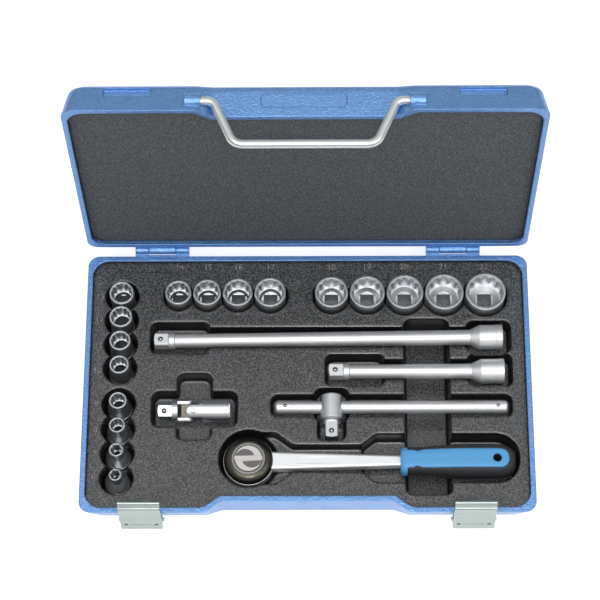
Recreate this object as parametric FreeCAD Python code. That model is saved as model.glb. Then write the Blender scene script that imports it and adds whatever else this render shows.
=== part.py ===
import FreeCAD
import Part
import math
import os

# Socket wrench set in a hinged sheet-steel case, in millimetres.
# The case stands on its flat floor with the origin at the middle of that floor.
# X runs along the case, Y from the front to the hinges and Z up. The lid is modelled closed and then opened.

# Case
case_width = 318.0
case_depth = 194.0
base_height = 32.0
lid_height = 23.7
case_sheet = 1.2
case_corner_radius = 8.0
case_edge_round = 6.0
edge_round_steps = 4
rim_width = 3.7
base_draft = 7.5
lid_draft = 4.6
lid_gap = 0.4
lid_open_angle = 93.0

# Handle recess in the front of base and lid
recess_half_floor = 60.0
recess_half_mouth = 71.0
recess_depth = 8.4
recess_draft = 1.7
lid_recess_draft = -2.4
recess_corner_radius = 8.0

# Carry handle
handle_wire = 6.0
handle_reach = 31.0
handle_level = 8.8
handle_standoff = 5.2
handle_half_top = 60.0
handle_half_grip = 46.0
handle_top_bend = 6.0
handle_grip_bend = 9.0
handle_end_play = 0.3
handle_end_reach = 14.0
handle_rest_tilt = 4.0
handle_bore_gap = 0.08
handle_boss_wall = 2.2
handle_boss_start = 68.0
handle_boss_length = 10.5

# Lid foam
foam_recess = 4.0
foam_gap = 0.4

# Hinges
hinge_from_end = 53.5
hinge_offset = case_width / 2 - hinge_from_end
hinge_width = 39.0
hinge_middle_share = 0.5
hinge_setback = 4.8
hinge_knuckle = 5.8
hinge_pin = 3.0
hinge_pin_gap = 0.06
hinge_leaf = 1.2
hinge_leaf_height = 14.0
hinge_play = 0.3

# Latches
latch_from_end = 43.0
latch_offset = case_width / 2 - latch_from_end
latch_width = 29.0
latch_sheet = 1.2
latch_front = 2.0
latch_shoulder_rise = 14.0
latch_top_rise = 18.2
latch_top_back = 0.5
latch_tip_rise = 15.6
latch_tip_back = 4.5
latch_tip_width = 20.0
latch_bead_radius = 1.5
latch_bend_drop = 2.0
latch_foot_drop = 20.0
latch_foot_front = 5.7
latch_pin_drop = 14.5
latch_pin_front = 0.5
latch_pin = 2.4
latch_pin_gap = 0.06
latch_eye_radius = 3.0
latch_bracket_eye_radius = 2.4
latch_bracket_sheet = 1.5
latch_bracket_play = 0.3
latch_slot = 15.0
latch_slot_width = 0.9
latch_slot_drop = 14.2
latch_tab_hole = 2.4
latch_tab_offset = 10.6

# Catch recesses in the lid's front wall
catch_width = 31.0
catch_low = 12.0
catch_high = 19.0
catch_depth = 6.5

# Tray
tray_drop = 5.0
tray_sheet = 1.0
tray_side_gap = 0.4
tray_skirt_level = 24.0
tray_column_edge = -118.0
tray_column_split = -1.5
tray_row_edge = 50.6
tray_row_split = -5.0
tray_long_edge = 23.1
tray_joint_edge = -40.0
tray_joint_back = 20.0
tray_finger_back = 25.0
tray_finger_end = 60.0
tray_ratchet_edge = -33.2
tray_grip_edge = 56.0
joint_notch = (-95.0, -66.0, -44.0)
t_bar_notch = (4.0, 30.0, -43.85)
pocket_draft = 3.0
pocket_corner = 5.0
seat_gap = 0.1

# Sockets
drive_square = 9.53
drive_square_gap = 0.12
socket_height = 28.0
socket_top_rise = 3.0
socket_drive_end = 17.0
socket_wall_rate = 1.256
socket_wall_base = 1.36
socket_drive_depth = 11.0
socket_web = 1.0
socket_seat_rate = 0.96
socket_lead_margin = 0.2
socket_bore_rate = 0.82
socket_seat_height = 2.5
socket_mouth_chamfer = 1.2
socket_edge = 0.6
socket_groove_height = 9.0
socket_groove_width = 1.6
socket_groove_depth = 0.5
socket_step_gap = 1.4
socket_step_length = 5.0
largest_hex_mouth = 7

# Places of the sockets
column_from_end = 25.0
column_x = column_from_end - case_width / 2
column_pitch = 18.4
column_pocket = 23.5
column_lower_start = -70.3
column_upper_start = 12.1
row_y = 67.5
row_gap = 1.25
row_pocket_gap = 1.5
row_left_start = -93.2
row_right_start = 17.3

# Extension bars
tool_axis_drop = 9.0
extension_collar = 11.8
extension_collar_length = 5.0
extension_bar_thin = 9.8
extension_bar_thick = 11.0
extension_cone_length = 6.8
extension_female = 17.6
extension_female_length = 16.4
extension_ring = 17.9
extension_ring_length = 4.6
extension_edge = 0.8
long_extension_length = 250.0
long_extension_start = -110.2
long_extension_y = 35.6
long_extension_skew = 0.6
short_extension_length = 125.0
short_extension_start = 15.2
short_extension_y = 10.6

# Drive squares and their detent balls
drive_length = 10.0
drive_edge = 0.9
ball_diameter = 3.6
ball_rise = 0.7
ball_gap = 0.05
ball_from_end = 4.6
ball_pocket_depth = 5.0

# Universal joint
joint_y = -18.7
joint_left = -106.2
joint_roll = 23.0
joint_diameter = 16.2
joint_ring_length = 4.2
joint_pin_spacing = 4.9
joint_pin = 4.0
joint_pin_gap = 0.05
joint_block_size = 9.4
joint_ear_gap = 0.2
joint_ear_half_width = 4.5
joint_throat = 6.3
joint_block_end = 3.8
joint_female_length = 19.2

# Sliding T-bar
t_rod = 9.0
t_rod_length = 165.0
t_rod_start = -22.9
t_rod_y = -16.5
t_rod_edge = 1.2
t_stop_from_end = 7.0
t_stop_diameter = 3.2
t_stop_rise = 0.7
t_head_x = 17.0
t_head_diameter = 16.7
t_head_behind_rod = 8.5
t_head_before_rod = 11.5
t_head_chamfer = 2.0
t_rod_gap = 0.06
t_drive_length = 12.0

# Ratchet
ratchet_x = -41.4
ratchet_y = -57.3
ratchet_head = 35.0
ratchet_head_bottom = 15.0
ratchet_head_top = 31.0
ratchet_top_round = 6.0
ratchet_bottom_round = 2.0
ratchet_floor = 2.0
ratchet_stem_hole = 15.2
ratchet_stem_gap = 0.3
gear_teeth = 36
gear_tip = 18.6
gear_tooth_depth = 0.8
gear_height = 9.0
gear_gap = 0.3
pawl_pivot_reach = 12.8
pawl_pin = 3.0
pawl_pin_gap = 0.06
pawl_height = 7.0
pawl_face_gap = 0.35
pawl_tip_angle = 20.0
pawl_tip_half_angle = 2.6
pawl_engaged_depth = 0.35
pawl_rock = 4.0
pawl_room = 0.5
cover_ring_outer = 22.5
cover_ring_width = 1.2
cover_ring_height = 3.2
cover_ring_rise = 0.6
disc_diameter = 19.6
disc_height = 2.8
disc_rise = 0.4
disc_bar_width = 3.2
disc_bar_rise = 1.0
shank_root_reach = 8.75
shank_start_width = 14.0
shank_end_width = 8.0
shank_height = 8.4
shank_end_height = 7.0
shank_corner = 2.0
shank_panel_start = 34.0
shank_panel_end = 92.0
shank_panel_width = 4.6
shank_panel_depth = 0.4
grip_start = 65.3
grip_length = 80.6
grip_width = 23.7
grip_height = 20.0
grip_collar_length = 5.0
grip_collar_bevel = 2.5
grip_collar_width = 19.5
grip_collar_height = 16.5
grip_neck_from_start = 15.0
grip_neck_width = 19.5
grip_neck_height = 16.5
grip_swell_from_start = 40.0
grip_tail_length = 13.0
grip_tail_steps = 4
grip_end_width = 7.0
grip_roundness = 0.8
grip_cover_width = 14.0
grip_cover_depth = 3.0
grip_cover_end_gap = 4.5
grip_cover_corner = 2.0
grip_cover_end_round = 6.5
grip_waist_from_start = 11.0
grip_waist_width = 10.2
grip_panel_from_start = 15.5
grip_hole = 6.0
grip_hole_from_end = 13.0
tang_width = 6.4
tang_height = 5.0
tang_end_gap = 20.0

# Pocket outlines round the tools
end_room = 2.8
female_end_room = 5.7
finger_length = 40.0
finger_half = 11.9
bar_half = 7.9
female_half = 12.4
female_lead = 2.8
channel_left = 69.0
channel_right = 101.5
channel_back = 49.5
channel_front = -82.5
joint_pocket_half = 13.1
joint_pocket_left_room = 4.3
joint_pocket_right_room = 5.3
joint_slot_left = -93.0
joint_slot_right = -68.0
joint_slot_back = 7.9
joint_slot_front = -41.7
t_pocket_half = 8.2
t_pocket_room = 3.2
t_head_room = 4.1
t_head_back_room = 4.5
t_drive_room = 5.3
t_drive_end_room = 2.5
ratchet_pocket_y = -55.7
ratchet_head_pocket = 42.0
ratchet_shank_half = 10.0
ratchet_shank_pocket_right = 43.0
ratchet_grip_half = 17.8
ratchet_grip_lead = 17.3
ratchet_grip_end_room = 2.6
ratchet_neck_inset = 2.0
ratchet_neck_reach = 31.0

# Levels and places that follow from the sizes above
front_y = -case_depth / 2
back_y = case_depth / 2
lid_rim_z = base_height + lid_gap
base_drafts = (base_draft, recess_draft)
lid_drafts = (lid_draft, lid_recess_draft)
hinge_y = back_y + hinge_setback
hinge_z = base_height + lid_gap / 2
tray_top = base_height - tray_drop
tool_z = base_height - tool_axis_drop
lowest_pocket_floor = case_sheet + tray_sheet
socket_top = base_height + socket_top_rise
socket_seat = socket_top - socket_height
grip_end = grip_start + grip_length
column_sizes = (6, 7, 8, 9), (10, 11, 12, 13)
row_sizes = (14, 15, 16, 17), (18, 19, 20, 21, 22)

X_AXIS = FreeCAD.Vector(1, 0, 0)
Y_AXIS = FreeCAD.Vector(0, 1, 0)
Z_AXIS = FreeCAD.Vector(0, 0, 1)


def point(x, y, z=0.0):
    """Return a point in the object's frame."""
    return FreeCAD.Vector(x, y, z)


def box(x_span, y_span, z_span):
    """Return a block between two values on each axis."""
    corner = point(min(x_span), min(y_span), min(z_span))
    sizes = [abs(span[1] - span[0]) for span in (x_span, y_span, z_span)]
    return Part.makeBox(*sizes, corner)


def cylinder(diameter, start, direction, length):
    """Return a round bar from a start point."""
    return Part.makeCylinder(diameter / 2, length, start, direction)


def joined(shapes):
    """Return one solid made of shapes that touch or overlap."""
    return shapes[0].multiFuse(list(shapes[1:])).removeSplitter()


def group(shapes):
    """Return separate solids that share one node."""
    return Part.makeCompound(list(shapes))


def turned(shape, centre, axis, angle):
    """Return a copy turned about an axis, in degrees."""
    copy = shape.copy()
    copy.rotate(centre, axis, angle)
    return copy


def opened(shape):
    """Return a closed-lid shape swung to where the open lid rests."""
    return turned(shape, point(0, hinge_y, hinge_z), X_AXIS, -lid_open_angle)


def corner_points(points, grow):
    """Move a counter-clockwise outline outwards by grow and return its corners with their turns."""
    count = len(points)
    moved = []
    for i in range(count):
        before = points[i] - points[i - 1]
        after = points[(i + 1) % count] - points[i]
        before.normalize()
        after.normalize()
        turn = before.x * after.y - before.y * after.x
        outward = point(before.y + after.y, -before.x - after.x)
        moved.append((points[i] + outward * (grow / (1 + before.dot(after))), turn))
    return moved


def rounded_outline(points, radii, z, grow=0.0):
    """Return a closed wire with rounded corners, moved outwards by grow, at height z."""
    corners = corner_points(points, grow)
    count = len(corners)
    ends = []
    edges = []
    for i in range(count):
        corner, turn = corners[i]
        to_before = corners[i - 1][0] - corner
        to_after = corners[(i + 1) % count][0] - corner
        to_before.normalize()
        to_after.normalize()
        radius = radii[i] + math.copysign(grow, turn)
        half = math.acos(max(-1.0, min(1.0, to_before.dot(to_after)))) / 2
        reach = radius / math.tan(half)
        middle = to_before + to_after
        middle.normalize()
        arc_middle = corner + middle * (radius / math.sin(half) - radius)
        first = corner + to_before * reach
        last = corner + to_after * reach
        lift = point(0, 0, z)
        edges.append(Part.Arc(first + lift, arc_middle + lift, last + lift).toShape())
        ends.append((first + lift, last + lift))
    outline = []
    for i in range(count):
        outline.append(edges[i])
        outline.append(Part.LineSegment(ends[i][1], ends[(i + 1) % count][0]).toShape())
    return Part.Wire(outline)


def bent_path(points, radii):
    """Return an open wire of straight runs with an arc at each inner point."""
    start = points[0]
    edges = []
    for i in range(1, len(points) - 1):
        to_before = points[i - 1] - points[i]
        to_after = points[i + 1] - points[i]
        to_before.normalize()
        to_after.normalize()
        half = math.acos(to_before.dot(to_after)) / 2
        reach = radii[i - 1] / math.tan(half)
        middle = to_before + to_after
        middle.normalize()
        arc_middle = points[i] + middle * (radii[i - 1] / math.sin(half) - radii[i - 1])
        first = points[i] + to_before * reach
        last = points[i] + to_after * reach
        edges.append(Part.LineSegment(start, first).toShape())
        edges.append(Part.Arc(first, arc_middle, last).toShape())
        start = last
    edges.append(Part.LineSegment(start, points[-1]).toShape())
    return Part.Wire(edges)


def revolved(profile, origin, direction):
    """Return a solid of revolution from (distance along the axis, radius) pairs."""
    side = Y_AXIS if abs(direction.y) < 0.5 else X_AXIS
    places = [origin + direction * along + side * radius for along, radius in profile]
    face = Part.Face(Part.makePolygon(places + places[:1]))
    return face.revolve(origin, direction, 360)


def polygon_bar(places, direction):
    """Return a prism over a flat polygon."""
    return Part.Face(Part.makePolygon(places + places[:1])).extrude(direction)


def chamfered_square(side, length, edge, start, direction):
    """Return a square bar with cut corners along its length and a chamfered far end."""
    across = Z_AXIS if abs(direction.z) < 0.5 else X_AXIS
    width = direction.cross(across)
    half = side / 2
    flat = half - edge
    octagon = (
        (half, flat), (flat, half), (-flat, half), (-half, flat),
        (-half, -flat), (-flat, -half), (flat, -half), (half, -flat),
    )
    corners = [start + width * wide + across * high for wide, high in octagon]
    bar = polygon_bar(corners, direction * length)
    reach = half * math.sqrt(2)
    nose = revolved(
        [(0, 0), (0, reach), (length - edge, reach), (length, half), (length, 0)], start, direction
    )
    return bar.common(nose)


def case_outline(lean, recess_lean, z, grow):
    """Return the case's plan outline at one height, with its walls leaning in by lean."""
    half = case_width / 2 - lean
    front = front_y + lean
    recess = front_y + recess_depth + recess_lean
    points = [
        point(half, back_y),
        point(-half, back_y),
        point(-half, front),
        point(-recess_half_mouth, front),
        point(-recess_half_floor, recess),
        point(recess_half_floor, recess),
        point(recess_half_mouth, front),
        point(half, front),
    ]
    radii = [case_corner_radius] * 3 + [recess_corner_radius] * 4 + [case_corner_radius]
    return rounded_outline(points, radii, z, grow)


def case_block(rim_z, height, drafts, grow, start, stop, edge_round=0.0):
    """Return the block between two levels counted from the rim, with a rounded edge at its closed end."""
    way = math.copysign(1, height)
    steps = [(start, 0.0), (stop - edge_round, 0.0)]
    for step in range(1, edge_round_steps + 1 if edge_round else 1):
        turn = math.pi / 2 * step / edge_round_steps
        level = stop - edge_round * (1 - math.sin(turn))
        steps.append((level, edge_round * (1 - math.cos(turn))))
    wires = []
    for level, inset in steps:
        share = level / abs(height)
        z = rim_z + way * level
        lean, recess_lean = (value * share for value in drafts)
        wires.append(case_outline(lean, recess_lean, z, grow - inset))
    return Part.makeLoft(wires, True, True)


def case_body(rim_z, height, drafts):
    """Return the rounded outside of one half of the case."""
    return case_block(rim_z, height, drafts, 0, 0, abs(height), case_edge_round)


def case_cavity(rim_z, height, drafts, gap):
    """Return the space inside one half, gap away from the sheet on the walls and the closed end."""
    inset = case_sheet + gap
    depth = abs(height) - inset
    return case_block(rim_z, height, drafts, -inset, case_sheet, depth, case_edge_round - inset)


def rim_opening(rim_z, height):
    """Return the cut through the flat rim."""
    way = math.copysign(1, height)
    wires = [case_outline(0, 0, rim_z + way * level, -rim_width) for level in (-case_sheet, 2 * case_sheet)]
    return Part.makeLoft(wires, True, True)


def base_shell():
    """Return the base: pressed sheet with an inward rim."""
    outside = case_body(base_height, -base_height, base_drafts)
    shell = outside.cut(case_cavity(base_height, -base_height, base_drafts, 0))
    return shell.cut(rim_opening(base_height, -base_height))


def catch_block(side, grow):
    """Return the block of one catch recess in the closed lid's front wall."""
    middle = side * latch_offset
    half = catch_width / 2 + grow
    return box(
        (middle - half, middle + half),
        (front_y - case_sheet, front_y + catch_depth + grow),
        (lid_rim_z + catch_low - grow, lid_rim_z + catch_high + grow),
    )


def handle_pivot(x):
    """Return a point on the handle's axis on the closed lid."""
    return point(x, front_y + recess_depth - handle_standoff, lid_rim_z + handle_level)


def handle_boss(side, grow):
    """Return one boss that carries an end of the handle."""
    diameter = handle_wire + 2 * (handle_boss_wall + grow)
    start = handle_pivot(side * (handle_boss_start - grow))
    return cylinder(diameter, start, X_AXIS * side, handle_boss_length + 2 * grow)


def handle_bore(side, gap):
    """Return the hole round one end of the handle."""
    diameter = handle_wire + 2 * gap
    length = handle_end_reach + handle_end_play
    return cylinder(diameter, handle_pivot(side * handle_half_top), X_AXIS * side, length)


def lid_shell():
    """Return the closed lid: pressed sheet with catch recesses and handle bosses."""
    outside = case_body(lid_rim_z, lid_height, lid_drafts)
    inside = case_cavity(lid_rim_z, lid_height, lid_drafts, 0)
    for side in (-1, 1):
        outside = outside.cut(catch_block(side, 0)).fuse(handle_boss(side, 0))
        inside = inside.cut(catch_block(side, case_sheet)).cut(handle_boss(side, 0))
    shell = outside.cut(inside).cut(rim_opening(lid_rim_z, lid_height))
    for side in (-1, 1):
        shell = shell.cut(handle_bore(side, handle_bore_gap))
    return shell


def lid_foam():
    """Return the foam pad in the closed lid, set back from the rim."""
    pad = case_cavity(lid_rim_z, lid_height, lid_drafts, foam_gap)
    reach = case_width + case_depth
    above = (lid_rim_z + foam_recess, lid_rim_z + lid_height)
    pad = pad.common(box((-reach, reach), (-reach, reach), above))
    for side in (-1, 1):
        pad = pad.cut(catch_block(side, case_sheet + foam_gap))
        pad = pad.cut([handle_boss(side, foam_gap), handle_bore(side, foam_gap)])
    return pad


def carry_handle():
    """Return the wire bail on the closed lid, leaning on the recess."""
    end = handle_half_top + handle_end_reach
    drop = FreeCAD.Vector(0, 0, -handle_reach)
    points = [handle_pivot(-end), handle_pivot(-handle_half_top), handle_pivot(-handle_half_grip) + drop]
    points += [handle_pivot(handle_half_grip) + drop, handle_pivot(handle_half_top), handle_pivot(end)]
    path = bent_path(points, [handle_top_bend, handle_grip_bend, handle_grip_bend, handle_top_bend])
    section = Part.Wire(Part.makeCircle(handle_wire / 2, points[0], X_AXIS))
    bail = path.makePipeShell([section], True, False)
    return turned(bail, handle_pivot(0), X_AXIS, handle_rest_tilt)


def hinge_span(place, side):
    """Return the ends along X of one knuckle place: outer, middle or inner."""
    middle = hinge_width * hinge_middle_share / 2
    low, high = {
        "inner": (-hinge_width / 2, -middle - hinge_play / 2),
        "middle": (-middle + hinge_play / 2, middle - hinge_play / 2),
        "outer": (middle + hinge_play / 2, hinge_width / 2),
    }[place]
    return side * (hinge_offset + low), side * (hinge_offset + high)


def hinge_leaf_solid(side, places, way):
    """Return one leaf with its knuckles, below the hinge axis for way -1 and above it for way 1."""
    rim = base_height if way < 0 else lid_rim_z
    half = hinge_width / 2
    plate_span = (side * (hinge_offset - half), side * (hinge_offset + half))
    leaf = box(plate_span, (back_y, back_y + hinge_leaf), (rim, rim + way * hinge_leaf_height))
    shapes = [leaf]
    for place in places:
        span = hinge_span(place, side)
        start = point(min(span), hinge_y, hinge_z)
        length = abs(span[1] - span[0])
        shapes.append(cylinder(hinge_knuckle, start, X_AXIS, length))
        shapes.append(box(span, (back_y, hinge_y), (rim, rim + way * hinge_leaf)))
    diameter = hinge_pin + 2 * hinge_pin_gap if way > 0 else hinge_pin
    hole_start = point(plate_span[0], hinge_y, hinge_z)
    return joined(shapes).cut(cylinder(diameter, hole_start, X_AXIS * side, hinge_width))


def hinge_pin_solid(side):
    """Return one hinge pin."""
    start = point(side * hinge_offset - hinge_width / 2, hinge_y, hinge_z)
    return cylinder(hinge_pin, start, X_AXIS, hinge_width)


def front_wall_y(z):
    """Return where the base's front wall stands at one height."""
    return front_y + base_draft * (base_height - z) / base_height


def side_profile(places, x_span):
    """Return a bar along X over a polygon given as (y, z) pairs."""
    corners = [point(x_span[0], y, z) for y, z in places]
    return polygon_bar(corners, X_AXIS * (x_span[1] - x_span[0]))


def bent_sheet(places, thickness, x_span):
    """Return a strip of sheet along X, bent along (y, z) pairs, with its thickness on the right-hand side."""
    line = [point(y, z) for y, z in places]
    inner = []
    for i, place in enumerate(line):
        before = place - line[max(i - 1, 0)] if i else line[1] - place
        after = line[i + 1] - place if i + 1 < len(line) else before
        before = before / before.Length
        after = after / after.Length
        outward = point(before.y + after.y, -before.x - after.x)
        inner.append(place + outward * (thickness / (1 + before.dot(after))))
    return side_profile([(p.x, p.y) for p in line + inner[::-1]], x_span)


latch_pin_y = front_y - latch_pin_front
latch_pin_z = base_height - latch_pin_drop


def latch_plate_y(z):
    """Return where the outer face of the latch's slanting plate stands at one height."""
    share = (base_height - latch_bend_drop - z) / (latch_foot_drop - latch_bend_drop)
    return front_y - latch_front - (latch_foot_front - latch_front) * share


def latch_clip(side):
    """Return one latch plate with two beads, a tongue that hooks the lid and eyes that turn on the pin."""
    middle = side * latch_offset
    half = latch_width / 2
    foot_z = base_height - latch_foot_drop
    shoulder = (front_y - latch_front, base_height + latch_shoulder_rise)
    top = (front_y + latch_top_back, base_height + latch_top_rise)
    tip = (front_y + latch_tip_back, base_height + latch_tip_rise)
    bend = (front_y - latch_front, base_height - latch_bend_drop)
    places = [(latch_plate_y(foot_z), foot_z), bend, shoulder, top, tip]
    shapes = [bent_sheet(places, latch_sheet, (middle - half, middle + half))]
    for bead_y, bead_z in (shoulder, top):
        start = point(middle - half, bead_y + latch_sheet / 2, bead_z - latch_sheet / 2)
        shapes.append(cylinder(2 * latch_bead_radius, start, X_AXIS, latch_width))
    reach = latch_eye_radius + latch_sheet
    ear = [
        (latch_plate_y(latch_pin_z + reach), latch_pin_z + reach),
        (latch_plate_y(latch_pin_z - reach), latch_pin_z - reach),
        (latch_pin_y, latch_pin_z - latch_eye_radius),
        (latch_pin_y, latch_pin_z + latch_eye_radius),
    ]
    for left in (middle - half, middle + half - latch_sheet):
        shapes.append(side_profile(ear, (left, left + latch_sheet)))
        eye_start = point(left, latch_pin_y, latch_pin_z)
        shapes.append(cylinder(2 * latch_eye_radius, eye_start, X_AXIS, latch_sheet))
    clip = joined(shapes)
    hole_start = point(middle - half, latch_pin_y, latch_pin_z)
    clip = clip.cut(cylinder(latch_pin + 2 * latch_pin_gap, hole_start, X_AXIS, latch_width))
    slot_z = base_height - latch_slot_drop
    plate_y = (front_y - latch_foot_front, front_y - latch_front)
    clip = clip.cut(box(around(middle, latch_slot / 2), plate_y, around(slot_z, latch_slot_width / 2)))
    for tab_x in (middle - latch_tab_offset, middle + latch_tab_offset):
        tab_half = latch_tab_hole / 2
        clip = clip.cut(box(around(tab_x, tab_half), plate_y, around(slot_z, tab_half)))
    notch_y = (top[0] + latch_sheet / 2 + latch_bead_radius, tip[0] + latch_sheet)
    notch_z = (base_height, base_height + latch_top_rise)
    for edge in (-1, 1):
        notch_x = (middle + edge * latch_tip_width / 2, middle + edge * latch_width)
        clip = clip.cut(box(notch_x, notch_y, notch_z))
    return clip


def latch_bracket(side):
    """Return one bracket welded to the front wall, with two ears that hold the latch pin."""
    middle = side * latch_offset
    half = latch_width / 2 - latch_sheet - latch_bracket_play
    low = latch_pin_z - latch_bracket_eye_radius
    high = latch_pin_z + latch_bracket_eye_radius
    plate = [
        (front_wall_y(low), low),
        (front_wall_y(low) - latch_bracket_sheet, low),
        (front_wall_y(high) - latch_bracket_sheet, high),
        (front_wall_y(high), high),
    ]
    ear = [(front_wall_y(low), low), (latch_pin_y, low), (latch_pin_y, high), (front_wall_y(high), high)]
    shapes = [side_profile(plate, (middle - half, middle + half))]
    for left in (middle - half, middle + half - latch_bracket_sheet):
        shapes.append(side_profile(ear, (left, left + latch_bracket_sheet)))
        eye_start = point(left, latch_pin_y, latch_pin_z)
        shapes.append(cylinder(2 * latch_bracket_eye_radius, eye_start, X_AXIS, latch_bracket_sheet))
    return joined(shapes).cut(latch_pin_solid(side))


def latch_pin_solid(side):
    """Return one latch pin, whose ends stand out past the latch's eyes."""
    length = latch_width + 2 * latch_sheet
    start = point(side * latch_offset - length / 2, latch_pin_y, latch_pin_z)
    return cylinder(latch_pin, start, X_AXIS, length)


def socket_mouth_diameter(size):
    """Return a socket's outside diameter at its mouth."""
    return size * socket_wall_rate + socket_wall_base


def socket_body_diameter(size):
    """Return a socket's largest diameter."""
    return max(socket_drive_end, socket_mouth_diameter(size))


def socket_places():
    """Return (size, x, y, pocket diameter) for every socket."""
    places = []
    for sizes, start in zip(column_sizes, (column_lower_start, column_upper_start)):
        for i, size in enumerate(sizes):
            pocket_size = max(column_pocket, socket_body_diameter(size) + 2 * row_pocket_gap)
            places.append((size, column_x, start + i * column_pitch, pocket_size))
    for sizes, start in zip(row_sizes, (row_left_start, row_right_start)):
        x = start
        for i, size in enumerate(sizes):
            if i:
                x += (socket_body_diameter(sizes[i - 1]) + socket_body_diameter(size)) / 2 + row_gap
            places.append((size, x, row_y, socket_body_diameter(size) + 2 * row_pocket_gap))
    return places


def pocket(outline, floor, grow):
    """Return a pocket with leaning walls, or the tub round it when grow is the tray's thickness."""
    points, radii = outline
    slope = math.tan(math.radians(pocket_draft))
    top = tray_top if grow else tray_top + tray_sheet
    wires = [rounded_outline(points, radii, z, grow + slope * (z - tray_top)) for z in (floor - grow, top)]
    return Part.makeLoft(wires, True, True)


def round_pocket(x, y, diameter, floor, grow):
    """Return a round pocket with a leaning wall, or the tub round it."""
    slope = math.tan(math.radians(pocket_draft))
    top = tray_top if grow else tray_top + tray_sheet
    low = floor - grow
    radii = [diameter / 2 + grow + slope * (z - tray_top) for z in (low, top)]
    return Part.makeCone(radii[0], radii[1], top - low, point(x, y, low))


def plan(x_span, y_span, end_radius=pocket_corner):
    """Return a rectangular pocket outline whose right-hand corners can be rounder."""
    points = [point(x_span[1], y_span[1]), point(x_span[0], y_span[1])]
    points += [point(x_span[0], y_span[0]), point(x_span[1], y_span[0])]
    return points, [end_radius, pocket_corner, pocket_corner, end_radius]


def around(middle, half):
    """Return a span about its middle."""
    return middle - half, middle + half


def extension_pockets(start, length, y):
    """Return the outlines and floors of one extension's pocket."""
    end = start + length
    female = end - extension_female_length
    bar_floor = tool_z - extension_collar / 2 - seat_gap
    female_floor = tool_z - extension_ring / 2 - seat_gap
    finger = plan((start - end_room, start + finger_length), around(y, finger_half))
    bar = plan((start, end), around(y, bar_half))
    head_start = female - extension_cone_length - female_lead
    head = plan((head_start, end + female_end_room), around(y, female_half))
    return [(finger, female_floor), (bar, bar_floor), (head, female_floor)]


def ratchet_pockets():
    """Return the outlines and floors of the ratchet's shank and grip pockets."""
    y = ratchet_pocket_y
    neck_half = ratchet_head_pocket / 2 - ratchet_neck_inset
    neck_start = ratchet_x + neck_half
    neck_end = ratchet_x + ratchet_neck_reach
    right = ratchet_shank_pocket_right
    lower = [(ratchet_x, -neck_half), (neck_start, -neck_half), (neck_end, -ratchet_shank_half)]
    lower.append((right, -ratchet_shank_half))
    shank = [point(x, y + side) for x, side in lower] + [point(x, y - side) for x, side in lower[::-1]]
    grip_left = grip_start - ratchet_grip_lead
    grip_right = grip_end + ratchet_grip_end_room
    lower = [(grip_left - ratchet_shank_half, -ratchet_shank_half), (grip_left, -ratchet_grip_half)]
    lower.append((grip_right, -ratchet_grip_half))
    grip = [point(x, y + side) for x, side in lower] + [point(x, y - side) for x, side in lower[::-1]]
    grip_round = ratchet_grip_half - pocket_corner / 2
    grip_radii = [pocket_corner / 2, pocket_corner, grip_round, grip_round, pocket_corner, pocket_corner / 2]
    shank_floor = tool_z - shank_height / 2 - seat_gap
    grip_floor = tool_z - grip_height / 2 - seat_gap
    return [((shank, [pocket_corner] * len(shank)), shank_floor), ((grip, grip_radii), grip_floor)]


def t_bar_pockets():
    """Return the outlines and floors of the T-bar's pocket."""
    end = t_rod_start + t_rod_length
    rod = plan((t_rod_start - t_pocket_room, end + t_pocket_room), around(t_rod_y, t_pocket_half))
    head_x = around(t_head_x, t_head_diameter / 2 + t_head_room)
    head_front = t_rod_y - t_head_before_rod
    head = plan(head_x, (head_front, t_rod_y + t_head_behind_rod + t_head_back_room))
    drive_x = around(t_head_x, drive_square / 2 + t_drive_room)
    drive = plan(drive_x, (head_front - t_drive_length - t_drive_end_room, t_rod_y))
    rod_floor = tool_z - t_rod / 2 - seat_gap
    head_floor = tool_z - t_head_diameter / 2 - seat_gap
    return [(rod, rod_floor), (head, head_floor), (drive, head_floor)]


def joint_pockets():
    """Return the outlines and floors of the universal joint's pocket and its finger slot."""
    x_span = (joint_left - joint_pocket_left_room, joint_right + joint_pocket_right_room)
    main = plan(x_span, around(joint_y, joint_pocket_half))
    slot = plan((joint_slot_left, joint_slot_right), (joint_slot_front, joint_slot_back))
    floor = tool_z - joint_diameter / 2 - seat_gap
    return [(main, floor), (slot, floor)]


def tool_tray():
    """Return the tray: a thin sheet with a skirt, and a tub round every pocket."""
    gap = case_sheet + tray_side_gap
    skirt = case_block(base_height, -base_height, base_drafts, -gap, tray_drop, tray_skirt_level)
    under = -gap - tray_sheet
    below = case_block(
        base_height, -base_height, base_drafts, under, tray_drop + tray_sheet, tray_skirt_level + tray_sheet
    )
    pockets = extension_pockets(long_extension_start, long_extension_length, long_extension_y)
    pockets += extension_pockets(short_extension_start, short_extension_length, short_extension_y)
    pockets += ratchet_pockets() + t_bar_pockets() + joint_pockets()
    channel = plan((channel_left, channel_right), (channel_front, channel_back))
    pockets.append((channel, lowest_pocket_floor))
    rounds = [(x, y, size, socket_seat - seat_gap) for _, x, y, size in socket_places()]
    rounds.append((ratchet_x, ratchet_pocket_y, ratchet_head_pocket, lowest_pocket_floor))
    tubs = [pocket(outline, floor, tray_sheet) for outline, floor in pockets]
    tubs += [round_pocket(*place, tray_sheet) for place in rounds]
    hollows = [pocket(outline, floor, 0) for outline, floor in pockets]
    hollows += [round_pocket(*place, 0) for place in rounds]
    sheet = skirt.cut(below).multiFuse(tubs)
    return sheet.cut(hollows).removeSplitter()


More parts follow.
